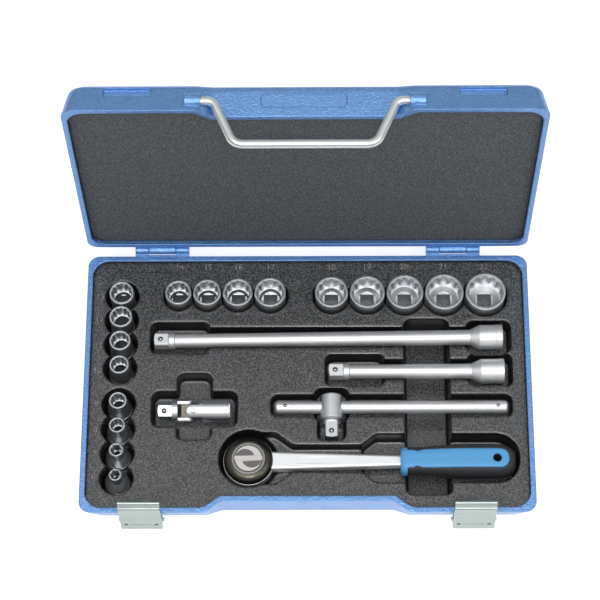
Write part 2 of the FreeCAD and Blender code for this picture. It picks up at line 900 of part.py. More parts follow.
def tray_panels():
    """Return the tray's sheet cut into panels with a few pockets each, so that contact can follow them."""
    left, right = -case_width, case_width
    front, back = -case_depth, case_depth
    levels = (0, base_height)
    joint_slot = box(joint_notch[:2], (joint_notch[2], tray_ratchet_edge), levels)
    t_bar_end = box(t_bar_notch[:2], (t_bar_notch[2], tray_ratchet_edge), levels)
    joint_rows = (tray_ratchet_edge, tray_joint_back)
    middle_rows = (tray_ratchet_edge, tray_long_edge)
    finger_strip = box((tray_joint_edge, tray_finger_end), (tray_long_edge, tray_finger_back), levels)
    long_strip = box((tray_column_edge, tray_joint_edge), (tray_joint_back, tray_long_edge), levels)
    long_row = box((tray_column_edge, right), (tray_long_edge, tray_row_edge), levels)
    front_rows = (front, tray_ratchet_edge)
    front_row = box((tray_column_edge, tray_grip_edge), front_rows, levels)
    regions = {
        "tray_left_front": box((left, tray_column_edge), (front, tray_column_split), levels),
        "tray_left_back": box((left, tray_column_edge), (tray_column_split, back), levels),
        "tray_back_left": box((tray_column_edge, tray_row_split), (tray_row_edge, back), levels),
        "tray_back_right": box((tray_row_split, right), (tray_row_edge, back), levels),
        "tray_long_extension": long_row.cut(finger_strip).fuse(long_strip),
        "tray_joint": box((tray_column_edge, tray_joint_edge), joint_rows, levels).fuse(joint_slot),
        "tray_middle": box((tray_joint_edge, right), middle_rows, levels).fuse([t_bar_end, finger_strip]),
        "tray_ratchet": front_row.cut([joint_slot, t_bar_end]),
        "tray_grip": box((tray_grip_edge, right), front_rows, levels),
    }
    tray = tool_tray()
    return {name: tray.common(region) for name, region in regions.items()}


def hexagon(across_flats, x, y, z, angle):
    """Return the corners of a hexagon."""
    radius = across_flats / math.sqrt(3)
    turns = [math.radians(angle + 60 * i) for i in range(6)]
    return [point(x + radius * math.cos(t), y + radius * math.sin(t), z) for t in turns]


def socket(size, x, y):
    """Return one socket standing on its drive end with its mouth up."""
    foot = point(x, y, socket_seat)
    body = socket_body_diameter(size) / 2
    mouth = socket_mouth_diameter(size) / 2
    groove = body - socket_groove_depth
    groove_top = socket_groove_height + socket_groove_width
    step_start = groove_top + socket_step_gap
    profile = [
        (0, 0),
        (0, body - socket_edge),
        (socket_edge, body),
        (socket_groove_height, body),
        (socket_groove_height, groove),
        (groove_top, groove),
        (groove_top, body),
        (step_start, body),
        (step_start + socket_step_length, mouth),
        (socket_height - socket_edge, mouth),
        (socket_height, mouth - socket_edge),
        (socket_height, 0),
    ]
    outside = revolved(profile, foot, Z_AXIS)
    side = drive_square + 2 * drive_square_gap
    square = box(around(x, side / 2), around(y, side / 2), (socket_seat, socket_seat + socket_drive_depth))
    bore = min(size * socket_bore_rate, side * math.sqrt(2)) / 2
    seat_start = socket_drive_depth + socket_web
    mouth_start = seat_start + socket_seat_height
    seat = revolved(
        [
            (socket_drive_depth, 0),
            (socket_drive_depth, bore),
            (seat_start, bore),
            (mouth_start, size * socket_seat_rate / 2),
            (mouth_start, 0),
        ],
        foot,
        Z_AXIS,
    )
    mouth_depth = Z_AXIS * (socket_height - mouth_start)
    turns = (0, 30) if size > largest_hex_mouth else (0,)
    flats = [polygon_bar(hexagon(size, x, y, socket_seat + mouth_start, turn), mouth_depth) for turn in turns]
    lead = size / math.sqrt(3) + socket_lead_margin
    lead_start = point(x, y, socket_top - socket_mouth_chamfer)
    lead_cone = Part.makeCone(lead - socket_mouth_chamfer, lead, socket_mouth_chamfer, lead_start)
    return outside.cut([square, seat, lead_cone] + flats)


def detent_ball(centre):
    """Return a detent ball that stands a little out of a face, given where its axis meets that face."""
    depth = ball_diameter / 2 - ball_rise
    return Part.makeSphere(ball_diameter / 2, centre - Z_AXIS * depth)


def ball_pocket(centre):
    """Return the hole that a detent ball and its spring sit in."""
    diameter = ball_diameter + 2 * ball_gap
    return cylinder(diameter, centre - Z_AXIS * ball_pocket_depth, Z_AXIS, ball_pocket_depth)


def extension_ball_place(start, y):
    """Return where the ball's axis meets the top of an extension's drive square."""
    return point(start + ball_from_end, y, tool_z + drive_square / 2)


def extension(start, length, y):
    """Return one extension bar along X, with its drive square at the left."""
    axis = point(start, y, tool_z)
    female = length - extension_female_length
    ring = length - extension_ring_length
    collar_end = drive_length + extension_collar_length
    profile = [
        (drive_length, 0),
        (drive_length, extension_collar / 2 - extension_edge),
        (drive_length + extension_edge, extension_collar / 2),
        (collar_end - extension_edge, extension_collar / 2),
        (collar_end, extension_bar_thin / 2),
        (female - extension_cone_length, extension_bar_thick / 2),
        (female, extension_female / 2),
        (ring, extension_female / 2),
        (ring, extension_ring / 2),
        (length - extension_edge, extension_ring / 2),
        (length, extension_ring / 2 - extension_edge),
        (length, 0),
    ]
    bar = revolved(profile, axis, X_AXIS)
    square = chamfered_square(drive_square, drive_length, drive_edge, axis + X_AXIS * drive_length, -X_AXIS)
    half = drive_square / 2 + drive_square_gap
    end = start + length
    hole = box((end - socket_drive_depth, end), around(y, half), around(tool_z, half))
    return bar.fuse(square).cut(hole).cut(ball_pocket(extension_ball_place(start, y)))


def long_skew(shape):
    """Return a shape of the long extension turned to lie a little askew in its pocket."""
    middle = point(long_extension_start + long_extension_length / 2, long_extension_y, tool_z)
    return turned(shape, middle, Z_AXIS, long_extension_skew)


# Universal joint, along X from its drive square, with the male pin across and the female pin upright
joint_ring_x = joint_left + drive_length
joint_male_pin_x = joint_ring_x + joint_ring_length + joint_throat
joint_female_pin_x = joint_male_pin_x + joint_pin_spacing
joint_female_x = joint_female_pin_x + joint_throat
joint_right = joint_female_x + joint_female_length


def joint_rolled(shape):
    """Return a shape of the universal joint rolled about the joint's own axis."""
    return turned(shape, point(0, joint_y, tool_z), X_AXIS, joint_roll)


def joint_yoke(base_x, pin_x, pin_axis, way):
    """Return a yoke without its drive end: a short round base and two ears that reach past their pin."""
    body = joint_diameter / 2
    inner = joint_block_size / 2 + joint_ear_gap
    reach = abs(pin_x - base_x)
    start = point(base_x, joint_y, tool_z)
    rod = cylinder(joint_diameter, start, X_AXIS * way, reach + joint_ear_half_width)
    wide = (inner, body)
    narrow = (-joint_ear_half_width, joint_ear_half_width)
    ears = []
    for side in (-1, 1):
        outward = (side * wide[0], side * wide[1])
        y_span, z_span = (outward, narrow) if abs(pin_axis.y) > 0.5 else (narrow, outward)
        block = box(
            (base_x, pin_x),
            (joint_y + y_span[0], joint_y + y_span[1]),
            (tool_z + z_span[0], tool_z + z_span[1]),
        )
        eye = cylinder(2 * joint_ear_half_width, point(pin_x, joint_y, tool_z) + pin_axis * (side * inner),
                       pin_axis * side, body - inner)
        ears.append(block.fuse(eye).common(rod))
    hole = cylinder(joint_pin, point(pin_x, joint_y, tool_z) - pin_axis * body, pin_axis, joint_diameter)
    return [ear.cut(hole) for ear in ears]


def joint_male_yoke():
    """Return the yoke with the drive square."""
    end = joint_ring_x + joint_ring_length
    ring = cylinder(joint_diameter, point(joint_ring_x, joint_y, tool_z), X_AXIS, joint_ring_length)
    start = point(joint_ring_x, joint_y, tool_z)
    square = chamfered_square(drive_square, drive_length, drive_edge, start, -X_AXIS)
    ears = joint_yoke(end, joint_male_pin_x, Y_AXIS, 1)
    yoke = joined([ring, square] + ears).cut(ball_pocket(extension_ball_place(joint_left, joint_y)))
    return joint_rolled(yoke)


def joint_female_yoke():
    """Return the yoke with the square hole."""
    body = cylinder(joint_diameter, point(joint_female_x, joint_y, tool_z), X_AXIS, joint_female_length)
    half = drive_square / 2 + drive_square_gap
    hole = box((joint_right - socket_drive_depth, joint_right), around(joint_y, half), around(tool_z, half))
    ears = joint_yoke(joint_female_x, joint_female_pin_x, Z_AXIS, -1)
    return joint_rolled(joined([body] + ears).cut(hole))


def joint_pin_solid(x, axis, length):
    """Return one pin of the universal joint."""
    return cylinder(joint_pin, point(x, joint_y, tool_z) - axis * (length / 2), axis, length)


def joint_pins():
    """Return both pins, trimmed to the joint's round outside."""
    outside = cylinder(joint_diameter, point(joint_left, joint_y, tool_z), X_AXIS, joint_right - joint_left)
    pins = [joint_pin_solid(joint_male_pin_x, Y_AXIS, joint_diameter)]
    pins.append(joint_pin_solid(joint_female_pin_x, Z_AXIS, joint_diameter))
    return [joint_rolled(pin.common(outside)) for pin in pins]


def joint_block():
    """Return the block between the yokes, with a running hole for each pin."""
    half = joint_block_size / 2
    x_span = (joint_male_pin_x - joint_block_end, joint_female_pin_x + joint_block_end)
    block = box(x_span, around(joint_y, half), around(tool_z, half))
    for x, axis in ((joint_male_pin_x, Y_AXIS), (joint_female_pin_x, Z_AXIS)):
        start = point(x, joint_y, tool_z) - axis * half
        block = block.cut(cylinder(joint_pin + 2 * joint_pin_gap, start, axis, joint_block_size))
    return joint_rolled(block)


def t_bar_rod():
    """Return the T-bar's round rod along X, with a seat for the stop ball near each end."""
    start = point(t_rod_start, t_rod_y, tool_z)
    radius = t_rod / 2
    profile = [
        (0, 0),
        (0, radius - t_rod_edge),
        (t_rod_edge, radius),
        (t_rod_length - t_rod_edge, radius),
        (t_rod_length, radius - t_rod_edge),
        (t_rod_length, 0),
    ]
    return revolved(profile, start, X_AXIS).cut(t_bar_stop_balls())


def t_bar_stop_balls():
    """Return the two balls staked into the rod that keep the head on it."""
    depth = t_stop_diameter / 2 - t_stop_rise
    z = tool_z + t_rod / 2 - depth
    ends = (t_rod_start + t_stop_from_end, t_rod_start + t_rod_length - t_stop_from_end)
    return [Part.makeSphere(t_stop_diameter / 2, point(x, t_rod_y, z)) for x in ends]


t_head_front = t_rod_y - t_head_before_rod
t_ball_place = point(t_head_x, t_head_front - t_drive_length + ball_from_end, tool_z + drive_square / 2)


def t_bar_head():
    """Return the head that slides on the rod, with its drive square towards the front."""
    radius = t_head_diameter / 2
    length = t_head_behind_rod + t_head_before_rod
    profile = [
        (0, 0),
        (0, radius - t_head_chamfer / 2),
        (t_head_chamfer / 2, radius),
        (length - t_head_chamfer, radius),
        (length, radius - t_head_chamfer),
        (length, 0),
    ]
    head = revolved(profile, point(t_head_x, t_rod_y + t_head_behind_rod, tool_z), -Y_AXIS)
    front = point(t_head_x, t_head_front, tool_z)
    square = chamfered_square(drive_square, t_drive_length, drive_edge, front, -Y_AXIS)
    bore_start = point(t_head_x - t_head_diameter, t_rod_y, tool_z)
    bore = cylinder(t_rod + 2 * t_rod_gap, bore_start, X_AXIS, 2 * t_head_diameter)
    return head.fuse(square).cut(bore).cut(ball_pocket(t_ball_place))


def ratchet_point(reach, z, angle=0.0):
    """Return a point at a distance and angle from the ratchet head's axis."""
    turn = math.radians(angle)
    return point(ratchet_x + reach * math.cos(turn), ratchet_y + reach * math.sin(turn), z)


gear_bottom = ratchet_head_bottom + ratchet_floor
pawl_bottom = gear_bottom + (gear_height - pawl_height) / 2
cover_ring_bottom = ratchet_head_top + cover_ring_rise - cover_ring_height
disc_bottom = ratchet_head_top + disc_rise - disc_height


def gear_outline(tip, depth, z):
    """Return the drive gear's toothed outline, with a gap on the side that faces the shank."""
    places = []
    for i in range(gear_teeth):
        middle = 360 / gear_teeth * (i + 0.5)
        step = 360 / gear_teeth / 2
        places.append(ratchet_point(tip / 2 - depth, z, middle - step))
        places.append(ratchet_point(tip / 2, z, middle - step / 4))
        places.append(ratchet_point(tip / 2, z, middle + step / 4))
    return places


def ratchet_drive_gear():
    """Return the toothed drive gear with its stem and the drive square below the head."""
    gear = polygon_bar(gear_outline(gear_tip, gear_tooth_depth, gear_bottom), Z_AXIS * gear_height)
    stem_length = ratchet_floor + gear_gap
    stem_size = ratchet_stem_hole - 2 * ratchet_stem_gap
    stem_start = ratchet_point(0, gear_bottom - stem_length)
    stem = cylinder(stem_size, stem_start, Z_AXIS, stem_length)
    square = chamfered_square(drive_square, drive_length, drive_edge, stem_start, -Z_AXIS)
    hole_start = ratchet_ball_place() - X_AXIS * ball_pocket_depth
    hole = cylinder(ball_diameter + 2 * ball_gap, hole_start, X_AXIS, ball_pocket_depth)
    return joined([gear, stem, square]).cut(hole)


def ratchet_ball_place():
    """Return where the ball's axis meets the side of the ratchet's drive square."""
    square_end = gear_bottom - ratchet_floor - gear_gap - drive_length
    return ratchet_point(drive_square / 2, square_end + ball_from_end)


def ratchet_ball():
    """Return the ratchet's detent ball."""
    return Part.makeSphere(ball_diameter / 2, ratchet_ball_place() - X_AXIS * (ball_diameter / 2 - ball_rise))


def pawl_outline(grow, z):
    """Return the pawl's plan without its tips: a hollow face towards the gear and a rounded back."""
    face = gear_tip / 2 + pawl_face_gap - grow
    spread = pawl_tip_angle + pawl_tip_half_angle + math.degrees(2 * grow / face)
    back = pawl_pivot_reach + pawl_pin / 2 + pawl_room + grow
    front_ends = [ratchet_point(face, z, turn) for turn in (-spread, 0, spread)]
    back_ends = [ratchet_point(back, z, turn) for turn in (spread / 2, 0, -spread / 2)]
    edges = [
        Part.Arc(*front_ends).toShape(),
        Part.LineSegment(front_ends[2], back_ends[0]).toShape(),
        Part.Arc(*back_ends).toShape(),
        Part.LineSegment(back_ends[2], front_ends[0]).toShape(),
    ]
    return Part.Face(Part.Wire(edges))


def pawl_pivot(z):
    """Return a point on the pawl's axis."""
    return ratchet_point(pawl_pivot_reach, z)


def ratchet_pawl():
    """Return the rocking pawl with one of its two tips in the gear."""
    body = pawl_outline(0, pawl_bottom).extrude(Z_AXIS * pawl_height)
    shapes = [body]
    for side in (-1, 1):
        middle = side * pawl_tip_angle
        tip = [
            ratchet_point(gear_tip / 2 + pawl_face_gap * 2, pawl_bottom, middle - pawl_tip_half_angle),
            ratchet_point(gear_tip / 2 + pawl_engaged_depth / 2, pawl_bottom, middle),
            ratchet_point(gear_tip / 2 + pawl_face_gap * 2, pawl_bottom, middle + pawl_tip_half_angle),
        ]
        shapes.append(polygon_bar(tip, Z_AXIS * pawl_height))
    hole = cylinder(pawl_pin + 2 * pawl_pin_gap, pawl_pivot(pawl_bottom), Z_AXIS, pawl_height)
    return turned(joined(shapes).cut(hole), pawl_pivot(0), Z_AXIS, pawl_rock)


def side_section(x, width, height, corner):
    """Return a rounded rectangle across the ratchet's shank at one place along it."""
    half_width = width / 2
    half_height = height / 2
    points = [
        point(half_width, half_height),
        point(-half_width, half_height),
        point(-half_width, -half_height),
        point(half_width, -half_height),
    ]
    wire = rounded_outline(points, [corner] * 4, 0)
    placement = FreeCAD.Matrix(0, 0, 1, x, 1, 0, 0, ratchet_y, 0, 1, 0, tool_z, 0, 0, 0, 1)
    return wire.transformGeometry(placement)


def ratchet_bar():
    """Return the tapering shank and the tang behind it."""
    shank_end = grip_start + grip_collar_length
    wide = side_section(ratchet_x + shank_root_reach, shank_start_width, shank_height, shank_corner)
    thin = side_section(shank_end, shank_end_width, shank_end_height, shank_corner)
    shank = Part.makeLoft([wide, thin], True, True)
    tang_x = (shank_end, grip_end - tang_end_gap)
    return [shank, box(tang_x, around(ratchet_y, tang_width / 2), around(tool_z, tang_height / 2))]


def edges_at(shape, z):
    """Return the edges that lie flat at one height."""
    return [e for e in shape.Edges if abs(e.BoundBox.ZMin - z) < 1e-6 and abs(e.BoundBox.ZMax - z) < 1e-6]


def ratchet_body():
    """Return the head, shank and tang, hollowed for the gear and the pawl."""
    head_height = ratchet_head_top - ratchet_head_bottom
    head = cylinder(ratchet_head, ratchet_point(0, ratchet_head_bottom), Z_AXIS, head_height)
    head = head.makeFillet(ratchet_top_round, edges_at(head, ratchet_head_top))
    head = head.makeFillet(ratchet_bottom_round, edges_at(head, ratchet_head_bottom))
    body = joined([head] + ratchet_bar())
    panel_z = tool_z + shank_height / 2 - shank_panel_depth
    panel_x = (ratchet_x + shank_panel_start, ratchet_x + shank_panel_end)
    panel = box(panel_x, around(ratchet_y, shank_panel_width / 2), (panel_z, ratchet_head_top))
    body = body.cut(panel)
    bore = cylinder(gear_tip + 2 * gear_gap, ratchet_point(0, gear_bottom), Z_AXIS, ratchet_head_top)
    stem_hole = cylinder(ratchet_stem_hole, ratchet_point(0, ratchet_head_bottom), Z_AXIS, ratchet_head_top)
    rebate = cylinder(cover_ring_outer, ratchet_point(0, cover_ring_bottom), Z_AXIS, ratchet_head_top)
    room = pawl_outline(pawl_room, pawl_bottom - pawl_room).extrude(Z_AXIS * (pawl_height + 2 * pawl_room))
    pin = cylinder(pawl_pin, pawl_pivot(pawl_bottom - pawl_room), Z_AXIS, pawl_height + 2 * pawl_room)
    hollow = room.cut(pin)
    return body.cut([bore, stem_hole, rebate, hollow])


def ratchet_cover_ring():
    """Return the ring round the reversing disc that closes the head."""
    inner = cover_ring_outer - 2 * cover_ring_width
    ring = cylinder(cover_ring_outer, ratchet_point(0, cover_ring_bottom), Z_AXIS, cover_ring_height)
    return ring.cut(cylinder(inner, ratchet_point(0, cover_ring_bottom), Z_AXIS, cover_ring_height))


def ratchet_reverse_disc():
    """Return the reversing disc with a raised bar across it to turn it by."""
    disc = cylinder(disc_diameter, ratchet_point(0, disc_bottom), Z_AXIS, disc_height)
    top = disc_bottom + disc_height
    bar = box(
        around(ratchet_x, disc_diameter / 2),
        around(ratchet_y, disc_bar_width / 2),
        (top, top + disc_bar_rise),
    )
    column = cylinder(disc_diameter, ratchet_point(0, top), Z_AXIS, disc_bar_rise)
    return disc.fuse(bar.common(column))


def grip_shape():
    """Return the whole outside of the grip, swelling from its collar to its rounded end."""
    tail = grip_end - grip_tail_length
    places = [
        (grip_start, grip_collar_width - grip_collar_bevel, grip_collar_height - grip_collar_bevel),
        (grip_start + grip_collar_bevel, grip_collar_width, grip_collar_height),
        (grip_start + grip_neck_from_start, grip_neck_width, grip_neck_height),
        (grip_start + grip_swell_from_start, grip_width, grip_height),
        (tail, grip_width, grip_height),
    ]
    last_turn = math.pi / 2 * grip_tail_steps / (grip_tail_steps + 1)
    for step in range(1, grip_tail_steps + 1):
        turn = math.pi / 2 * step / (grip_tail_steps + 1)
        x = tail + grip_tail_length * math.sin(turn) / math.sin(last_turn)
        shrink = 1 - math.cos(turn)
        width = grip_width - (grip_width - grip_end_width) * shrink
        height = grip_height - (grip_height - grip_end_width) * shrink
        places.append((x, width, height))
    sections = [side_section(x, w, h, min(w, h) * grip_roundness / 2) for x, w, h in places]
    return Part.makeLoft(sections, True, True)


def grip_cover_region():
    """Return the space of the coloured collar and of the top panel, which has a waist behind it."""
    collar_end = grip_start + grip_collar_length
    collar = box((grip_start, collar_end), around(ratchet_y, grip_width), around(tool_z, grip_height))
    lower = [
        (grip_start, grip_width / 2),
        (collar_end, grip_width / 2),
        (grip_start + grip_waist_from_start, grip_waist_width / 2),
        (grip_start + grip_panel_from_start, grip_cover_width / 2),
        (grip_end - grip_cover_end_gap, grip_cover_width / 2),
    ]
    places = [point(x, ratchet_y - half) for x, half in lower]
    places += [point(x, ratchet_y + half) for x, half in lower[::-1]]
    side_radii = [grip_cover_corner] * (len(lower) - 1)
    radii = side_radii + [grip_cover_end_round] * 2 + side_radii
    panel = Part.Face(rounded_outline(places, radii, tool_z + grip_height / 2 - grip_cover_depth))
    return collar.fuse(panel.extrude(Z_AXIS * grip_height))


def grip_hollow():
    """Return the space in the grip for the shank's end, the tang and the hang hole."""
    hang_start = point(grip_end - grip_hole_from_end, ratchet_y, tool_z - grip_height)
    return [cylinder(grip_hole, hang_start, Z_AXIS, 2 * grip_height)] + ratchet_bar()


def all_nodes():
    """Return every node of the object by name."""
    sides = (-1, 1)
    nodes = {
        "base_shell": base_shell(),
        "lid_shell": opened(lid_shell()),
        "lid_foam": opened(lid_foam()),
        "carry_handle": opened(carry_handle()),
        "hinge_base_leaves": group(hinge_leaf_solid(side, ("inner", "outer"), -1) for side in sides),
        "hinge_lid_leaves": group(opened(hinge_leaf_solid(side, ("middle",), 1)) for side in sides),
        "hinge_pins": group(hinge_pin_solid(side) for side in sides),
        "left_latch_clip": latch_clip(-1),
        "right_latch_clip": latch_clip(1),
        "latch_brackets": group(latch_bracket(side) for side in sides),
        "latch_pins": group(latch_pin_solid(side) for side in sides),
        **tray_panels(),
    }
    for size, x, y, _ in socket_places():
        nodes[f"socket_{size:02d}"] = socket(size, x, y)
    long_place = (long_extension_start, long_extension_length, long_extension_y)
    short_place = (short_extension_start, short_extension_length, short_extension_y)
    nodes["long_extension"] = long_skew(extension(*long_place))
    nodes["long_extension_ball"] = long_skew(
        detent_ball(extension_ball_place(long_extension_start, long_extension_y))
    )
    nodes["short_extension"] = extension(*short_place)
    short_ball_place = extension_ball_place(short_extension_start, short_extension_y)
    nodes["short_extension_ball"] = detent_ball(short_ball_place)
    male_pin, female_pin = joint_pins()
    nodes["joint_male_yoke"] = joint_male_yoke()
    nodes["joint_male_pin"] = male_pin
    nodes["joint_ball"] = joint_rolled(detent_ball(extension_ball_place(joint_left, joint_y)))
    nodes["joint_block"] = joint_block()
    nodes["joint_female_yoke"] = joint_female_yoke()
    nodes["joint_female_pin"] = female_pin
    nodes["t_bar_rod"] = t_bar_rod()
    nodes["t_bar_stop_balls"] = group(t_bar_stop_balls())
    nodes["t_bar_head"] = t_bar_head()
    nodes["t_bar_ball"] = detent_ball(t_ball_place)
    nodes["ratchet_body"] = ratchet_body()
    nodes["ratchet_drive_gear"] = ratchet_drive_gear()
    nodes["ratchet_ball"] = ratchet_ball()
    nodes["ratchet_pawl"] = ratchet_pawl()
    nodes["ratchet_cover_ring"] = ratchet_cover_ring()
    nodes["ratchet_reverse_disc"] = ratchet_reverse_disc()
    hollow = grip_hollow()
    nodes["ratchet_grip"] = grip_shape().cut(grip_cover_region()).cut(hollow)
    nodes["ratchet_grip_cover"] = grip_shape().common(grip_cover_region()).cut(hollow)
    return nodes


os.makedirs("parts", exist_ok=True)
for name, shape in all_nodes().items():
    shape.exportStep(f"parts/{name}.step")
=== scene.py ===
"""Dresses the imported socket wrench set: painted case, formed tray, foam pad, plated and chromed tools."""

import logging
import math
from dataclasses import dataclass
from enum import Enum

import bmesh
import bpy
from mathutils import Matrix, Vector
from mathutils.bvhtree import BVHTree


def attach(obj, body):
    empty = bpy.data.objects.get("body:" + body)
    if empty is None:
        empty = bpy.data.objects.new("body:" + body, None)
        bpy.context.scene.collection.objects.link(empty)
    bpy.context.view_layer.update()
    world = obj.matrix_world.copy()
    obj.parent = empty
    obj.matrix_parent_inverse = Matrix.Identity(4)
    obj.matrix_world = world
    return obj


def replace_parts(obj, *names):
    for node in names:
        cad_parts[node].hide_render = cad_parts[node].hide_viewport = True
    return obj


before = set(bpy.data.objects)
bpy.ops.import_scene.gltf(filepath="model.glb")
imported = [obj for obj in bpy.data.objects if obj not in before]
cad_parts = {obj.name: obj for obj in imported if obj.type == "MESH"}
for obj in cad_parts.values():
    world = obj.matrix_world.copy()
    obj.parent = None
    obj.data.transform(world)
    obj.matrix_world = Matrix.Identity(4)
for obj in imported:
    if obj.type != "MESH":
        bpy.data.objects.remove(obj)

LOG = logging.getLogger("socket_set")
Colour = tuple[float, float, float]
Section = list[tuple[float, float]]
UP = Vector((0.0, 0.0, 1.0))
WHITE = (1.0, 1.0, 1.0, 1.0)
SHARP_EDGE = math.radians(38.0)
MERGE_DISTANCE = 1e-6
RAY_NUDGE = 1e-5
SMOOTH_FACTOR = 0.5
FIGURE_HALF_MM = 0.04
SCUFF_MM = 25.0
PAINTED_SHADE_BAND = (0.86, 0.99)
BEVEL_SAMPLES = 6
MIX_COLOUR_INPUTS = (6, 7)
MIX_COLOUR_OUTPUT = 2


def millimetres(value: float | Vector) -> float | Vector:
    """Return a length or a place given in millimetres in metres."""
    return value / 1000.0


class NodeSheet:
    """The nodes of one material or group, with short calls to add and join them."""

    def __init__(self, tree: bpy.types.NodeTree) -> None:
        """Keep the tree that the calls work on."""
        self.tree = tree

    def add(self, kind: str, settings: dict | None = None, **inputs: object) -> bpy.types.Node:
        """Add a node, set it up and fill or link its inputs.

        Args:
            kind: Node class name after the ShaderNode prefix.
            settings: Attributes of the node itself.
            inputs: Socket values or output sockets, by socket name with _ for a space.

        Returns:
            The new node.
        """
        node = self.tree.nodes.new("ShaderNode" + kind)
        for name, value in (settings or {}).items():
            setattr(node, name, value)
        for name, value in inputs.items():
            self.feed(node.inputs[name.replace("_", " ")], value)
        return node

    def feed(self, socket: bpy.types.NodeSocket, value: object) -> None:
        """Link an output socket to an input, or set the input's own value."""
        if isinstance(value, bpy.types.NodeSocket):
            self.tree.links.new(value, socket)
        else:
            socket.default_value = value

    def math(self, operation: str, first: object, second: object = 0.0) -> bpy.types.NodeSocket:
        """Return the result of one arithmetic node on two values."""
        node = self.add("Math", {"operation": operation})
        self.feed(node.inputs[0], first)
        self.feed(node.inputs[1], second)
        return node.outputs[0]

    def ramp(self, value: object, low: float, high: float) -> bpy.types.NodeSocket:
        """Return a value stretched so that low becomes 0 and high becomes 1, and clamped."""
        node = self.add("MapRange", None, Value=value, From_Min=low, From_Max=high)
        return node.outputs[0]

    def blend(self, factor: object, first: object, second: object) -> bpy.types.NodeSocket:
        """Return a colour between two by a factor, each a colour or an output socket."""
        node = self.add("Mix", {"data_type": "RGBA"})
        self.feed(node.inputs[0], factor)
        for index, colour in zip(MIX_COLOUR_INPUTS, (first, second)):
            linked = isinstance(colour, bpy.types.NodeSocket)
            self.feed(node.inputs[index], colour if linked else (*colour, 1.0))
        return node.outputs[MIX_COLOUR_OUTPUT]


class Texture(Enum):
    """The surface textures that finishes share, each one a node group."""

    GRAIN = "grain"
    HAMMERED = "hammered"
    BRUSHED = "brushed"
    SCUFFS = "scuffs"


class TextureGroups:
    """Makes the shared node groups once and hands them out."""

    def __init__(self) -> None:
        """Start with no groups made."""
        self.made: dict[Texture, bpy.types.NodeTree] = {}

    def get(self, texture: Texture) -> bpy.types.NodeTree:
        """Return the group of a texture, made on its first use."""
        if texture not in self.made:
            self.made[texture] = self._make(texture)
        return self.made[texture]

    def _make(self, texture: Texture) -> bpy.types.NodeTree:
        """Build one group with Vector and Size inputs and Height and Tint outputs.

        Args:
            texture: Which texture the group holds.

        Returns:
            The new node group.
        """
        tree = bpy.data.node_groups.new(texture.value, "ShaderNodeTree")
        tree.interface.new_socket("Vector", in_out="INPUT", socket_type="NodeSocketVector")
        tree.interface.new_socket("Size", in_out="INPUT", socket_type="NodeSocketFloat")
        tree.interface.new_socket("Height", in_out="OUTPUT", socket_type="NodeSocketFloat")
        tree.interface.new_socket("Tint", in_out="OUTPUT", socket_type="NodeSocketFloat")
        sheet = NodeSheet(tree)
        entry = tree.nodes.new("NodeGroupInput")
        leave = tree.nodes.new("NodeGroupOutput")
        scale = sheet.math("DIVIDE", 1.0, entry.outputs["Size"])
        build = {
            Texture.GRAIN: self._grain,
            Texture.HAMMERED: self._hammered,
            Texture.BRUSHED: self._brushed,
            Texture.SCUFFS: self._scuffs,
        }[texture]
        height, tint = build(sheet, entry.outputs["Vector"], scale)
        sheet.feed(leave.inputs["Height"], height)
        sheet.feed(leave.inputs["Tint"], tint)
        return tree

    @staticmethod
    def _grain(sheet: NodeSheet, vector: object, scale: object) -> tuple:
        """Return height and tint of a fine pebbled grain."""
        noise_scale, pebble_share = 0.8, 0.6
        pebble_edges, tint_edges = (0.75, 0.05), (0.62, 1.02)
        cells = sheet.add("TexVoronoi", {"feature": "F1"}, Vector=vector, Scale=scale)
        wide = sheet.math("MULTIPLY", scale, noise_scale)
        noise = sheet.add("TexNoise", None, Vector=vector, Scale=wide, Detail=2.0)
        pebble = sheet.ramp(cells.outputs["Distance"], *pebble_edges)
        height = sheet.math("ADD", sheet.math("MULTIPLY", pebble, pebble_share), noise.outputs["Fac"])
        return height, sheet.ramp(height, *tint_edges)

    @staticmethod
    def _hammered(sheet: NodeSheet, vector: object, scale: object) -> tuple:
        """Return height and tint of hammer-finish paint with its small dents."""
        cell_scale, cloud_scale = 0.9, 0.12
        dent_share, cloud_share = 0.6, 0.4
        tint_edges = (0.35, 0.95)
        warp = sheet.add("TexNoise", None, Vector=vector, Scale=scale, Detail=2.0, Distortion=0.6)
        close = sheet.math("MULTIPLY", scale, cell_scale)
        cells = sheet.add("TexVoronoi", {"feature": "SMOOTH_F1"}, Vector=vector, Scale=close, Smoothness=0.6)
        dents = sheet.math("ADD", cells.outputs["Distance"], warp.outputs["Fac"])
        wide = sheet.math("MULTIPLY", scale, cloud_scale)
        cloud = sheet.add("TexNoise", None, Vector=vector, Scale=wide, Detail=3.0)
        dented = sheet.math("MULTIPLY", dents, dent_share)
        clouded = sheet.math("MULTIPLY", cloud.outputs["Fac"], cloud_share)
        return dents, sheet.ramp(sheet.math("ADD", dented, clouded), *tint_edges)

    @staticmethod
    def _brushed(sheet: NodeSheet, vector: object, scale: object) -> tuple:
        """Return height and tint of a fine satin polish with soft cloudiness."""
        cloud_scale = 0.05
        fine = sheet.add("TexNoise", None, Vector=vector, Scale=scale, Detail=4.0, Roughness=0.7)
        wide = sheet.math("MULTIPLY", scale, cloud_scale)
        cloud = sheet.add("TexNoise", None, Vector=vector, Scale=wide, Detail=2.0)
        return fine.outputs["Fac"], sheet.math("MULTIPLY", fine.outputs["Fac"], cloud.outputs["Fac"])

    @staticmethod
    def _scuffs(sheet: NodeSheet, vector: object, scale: object) -> tuple:
        """Return height and tint of sparse handling marks."""
        mark_edges = (0.58, 0.72)
        cloud = sheet.add("TexNoise", None, Vector=vector, Scale=scale, Detail=6.0, Distortion=1.5)
        marks = sheet.ramp(cloud.outputs["Fac"], *mark_edges)
        return marks, marks


GROUPS = TextureGroups()


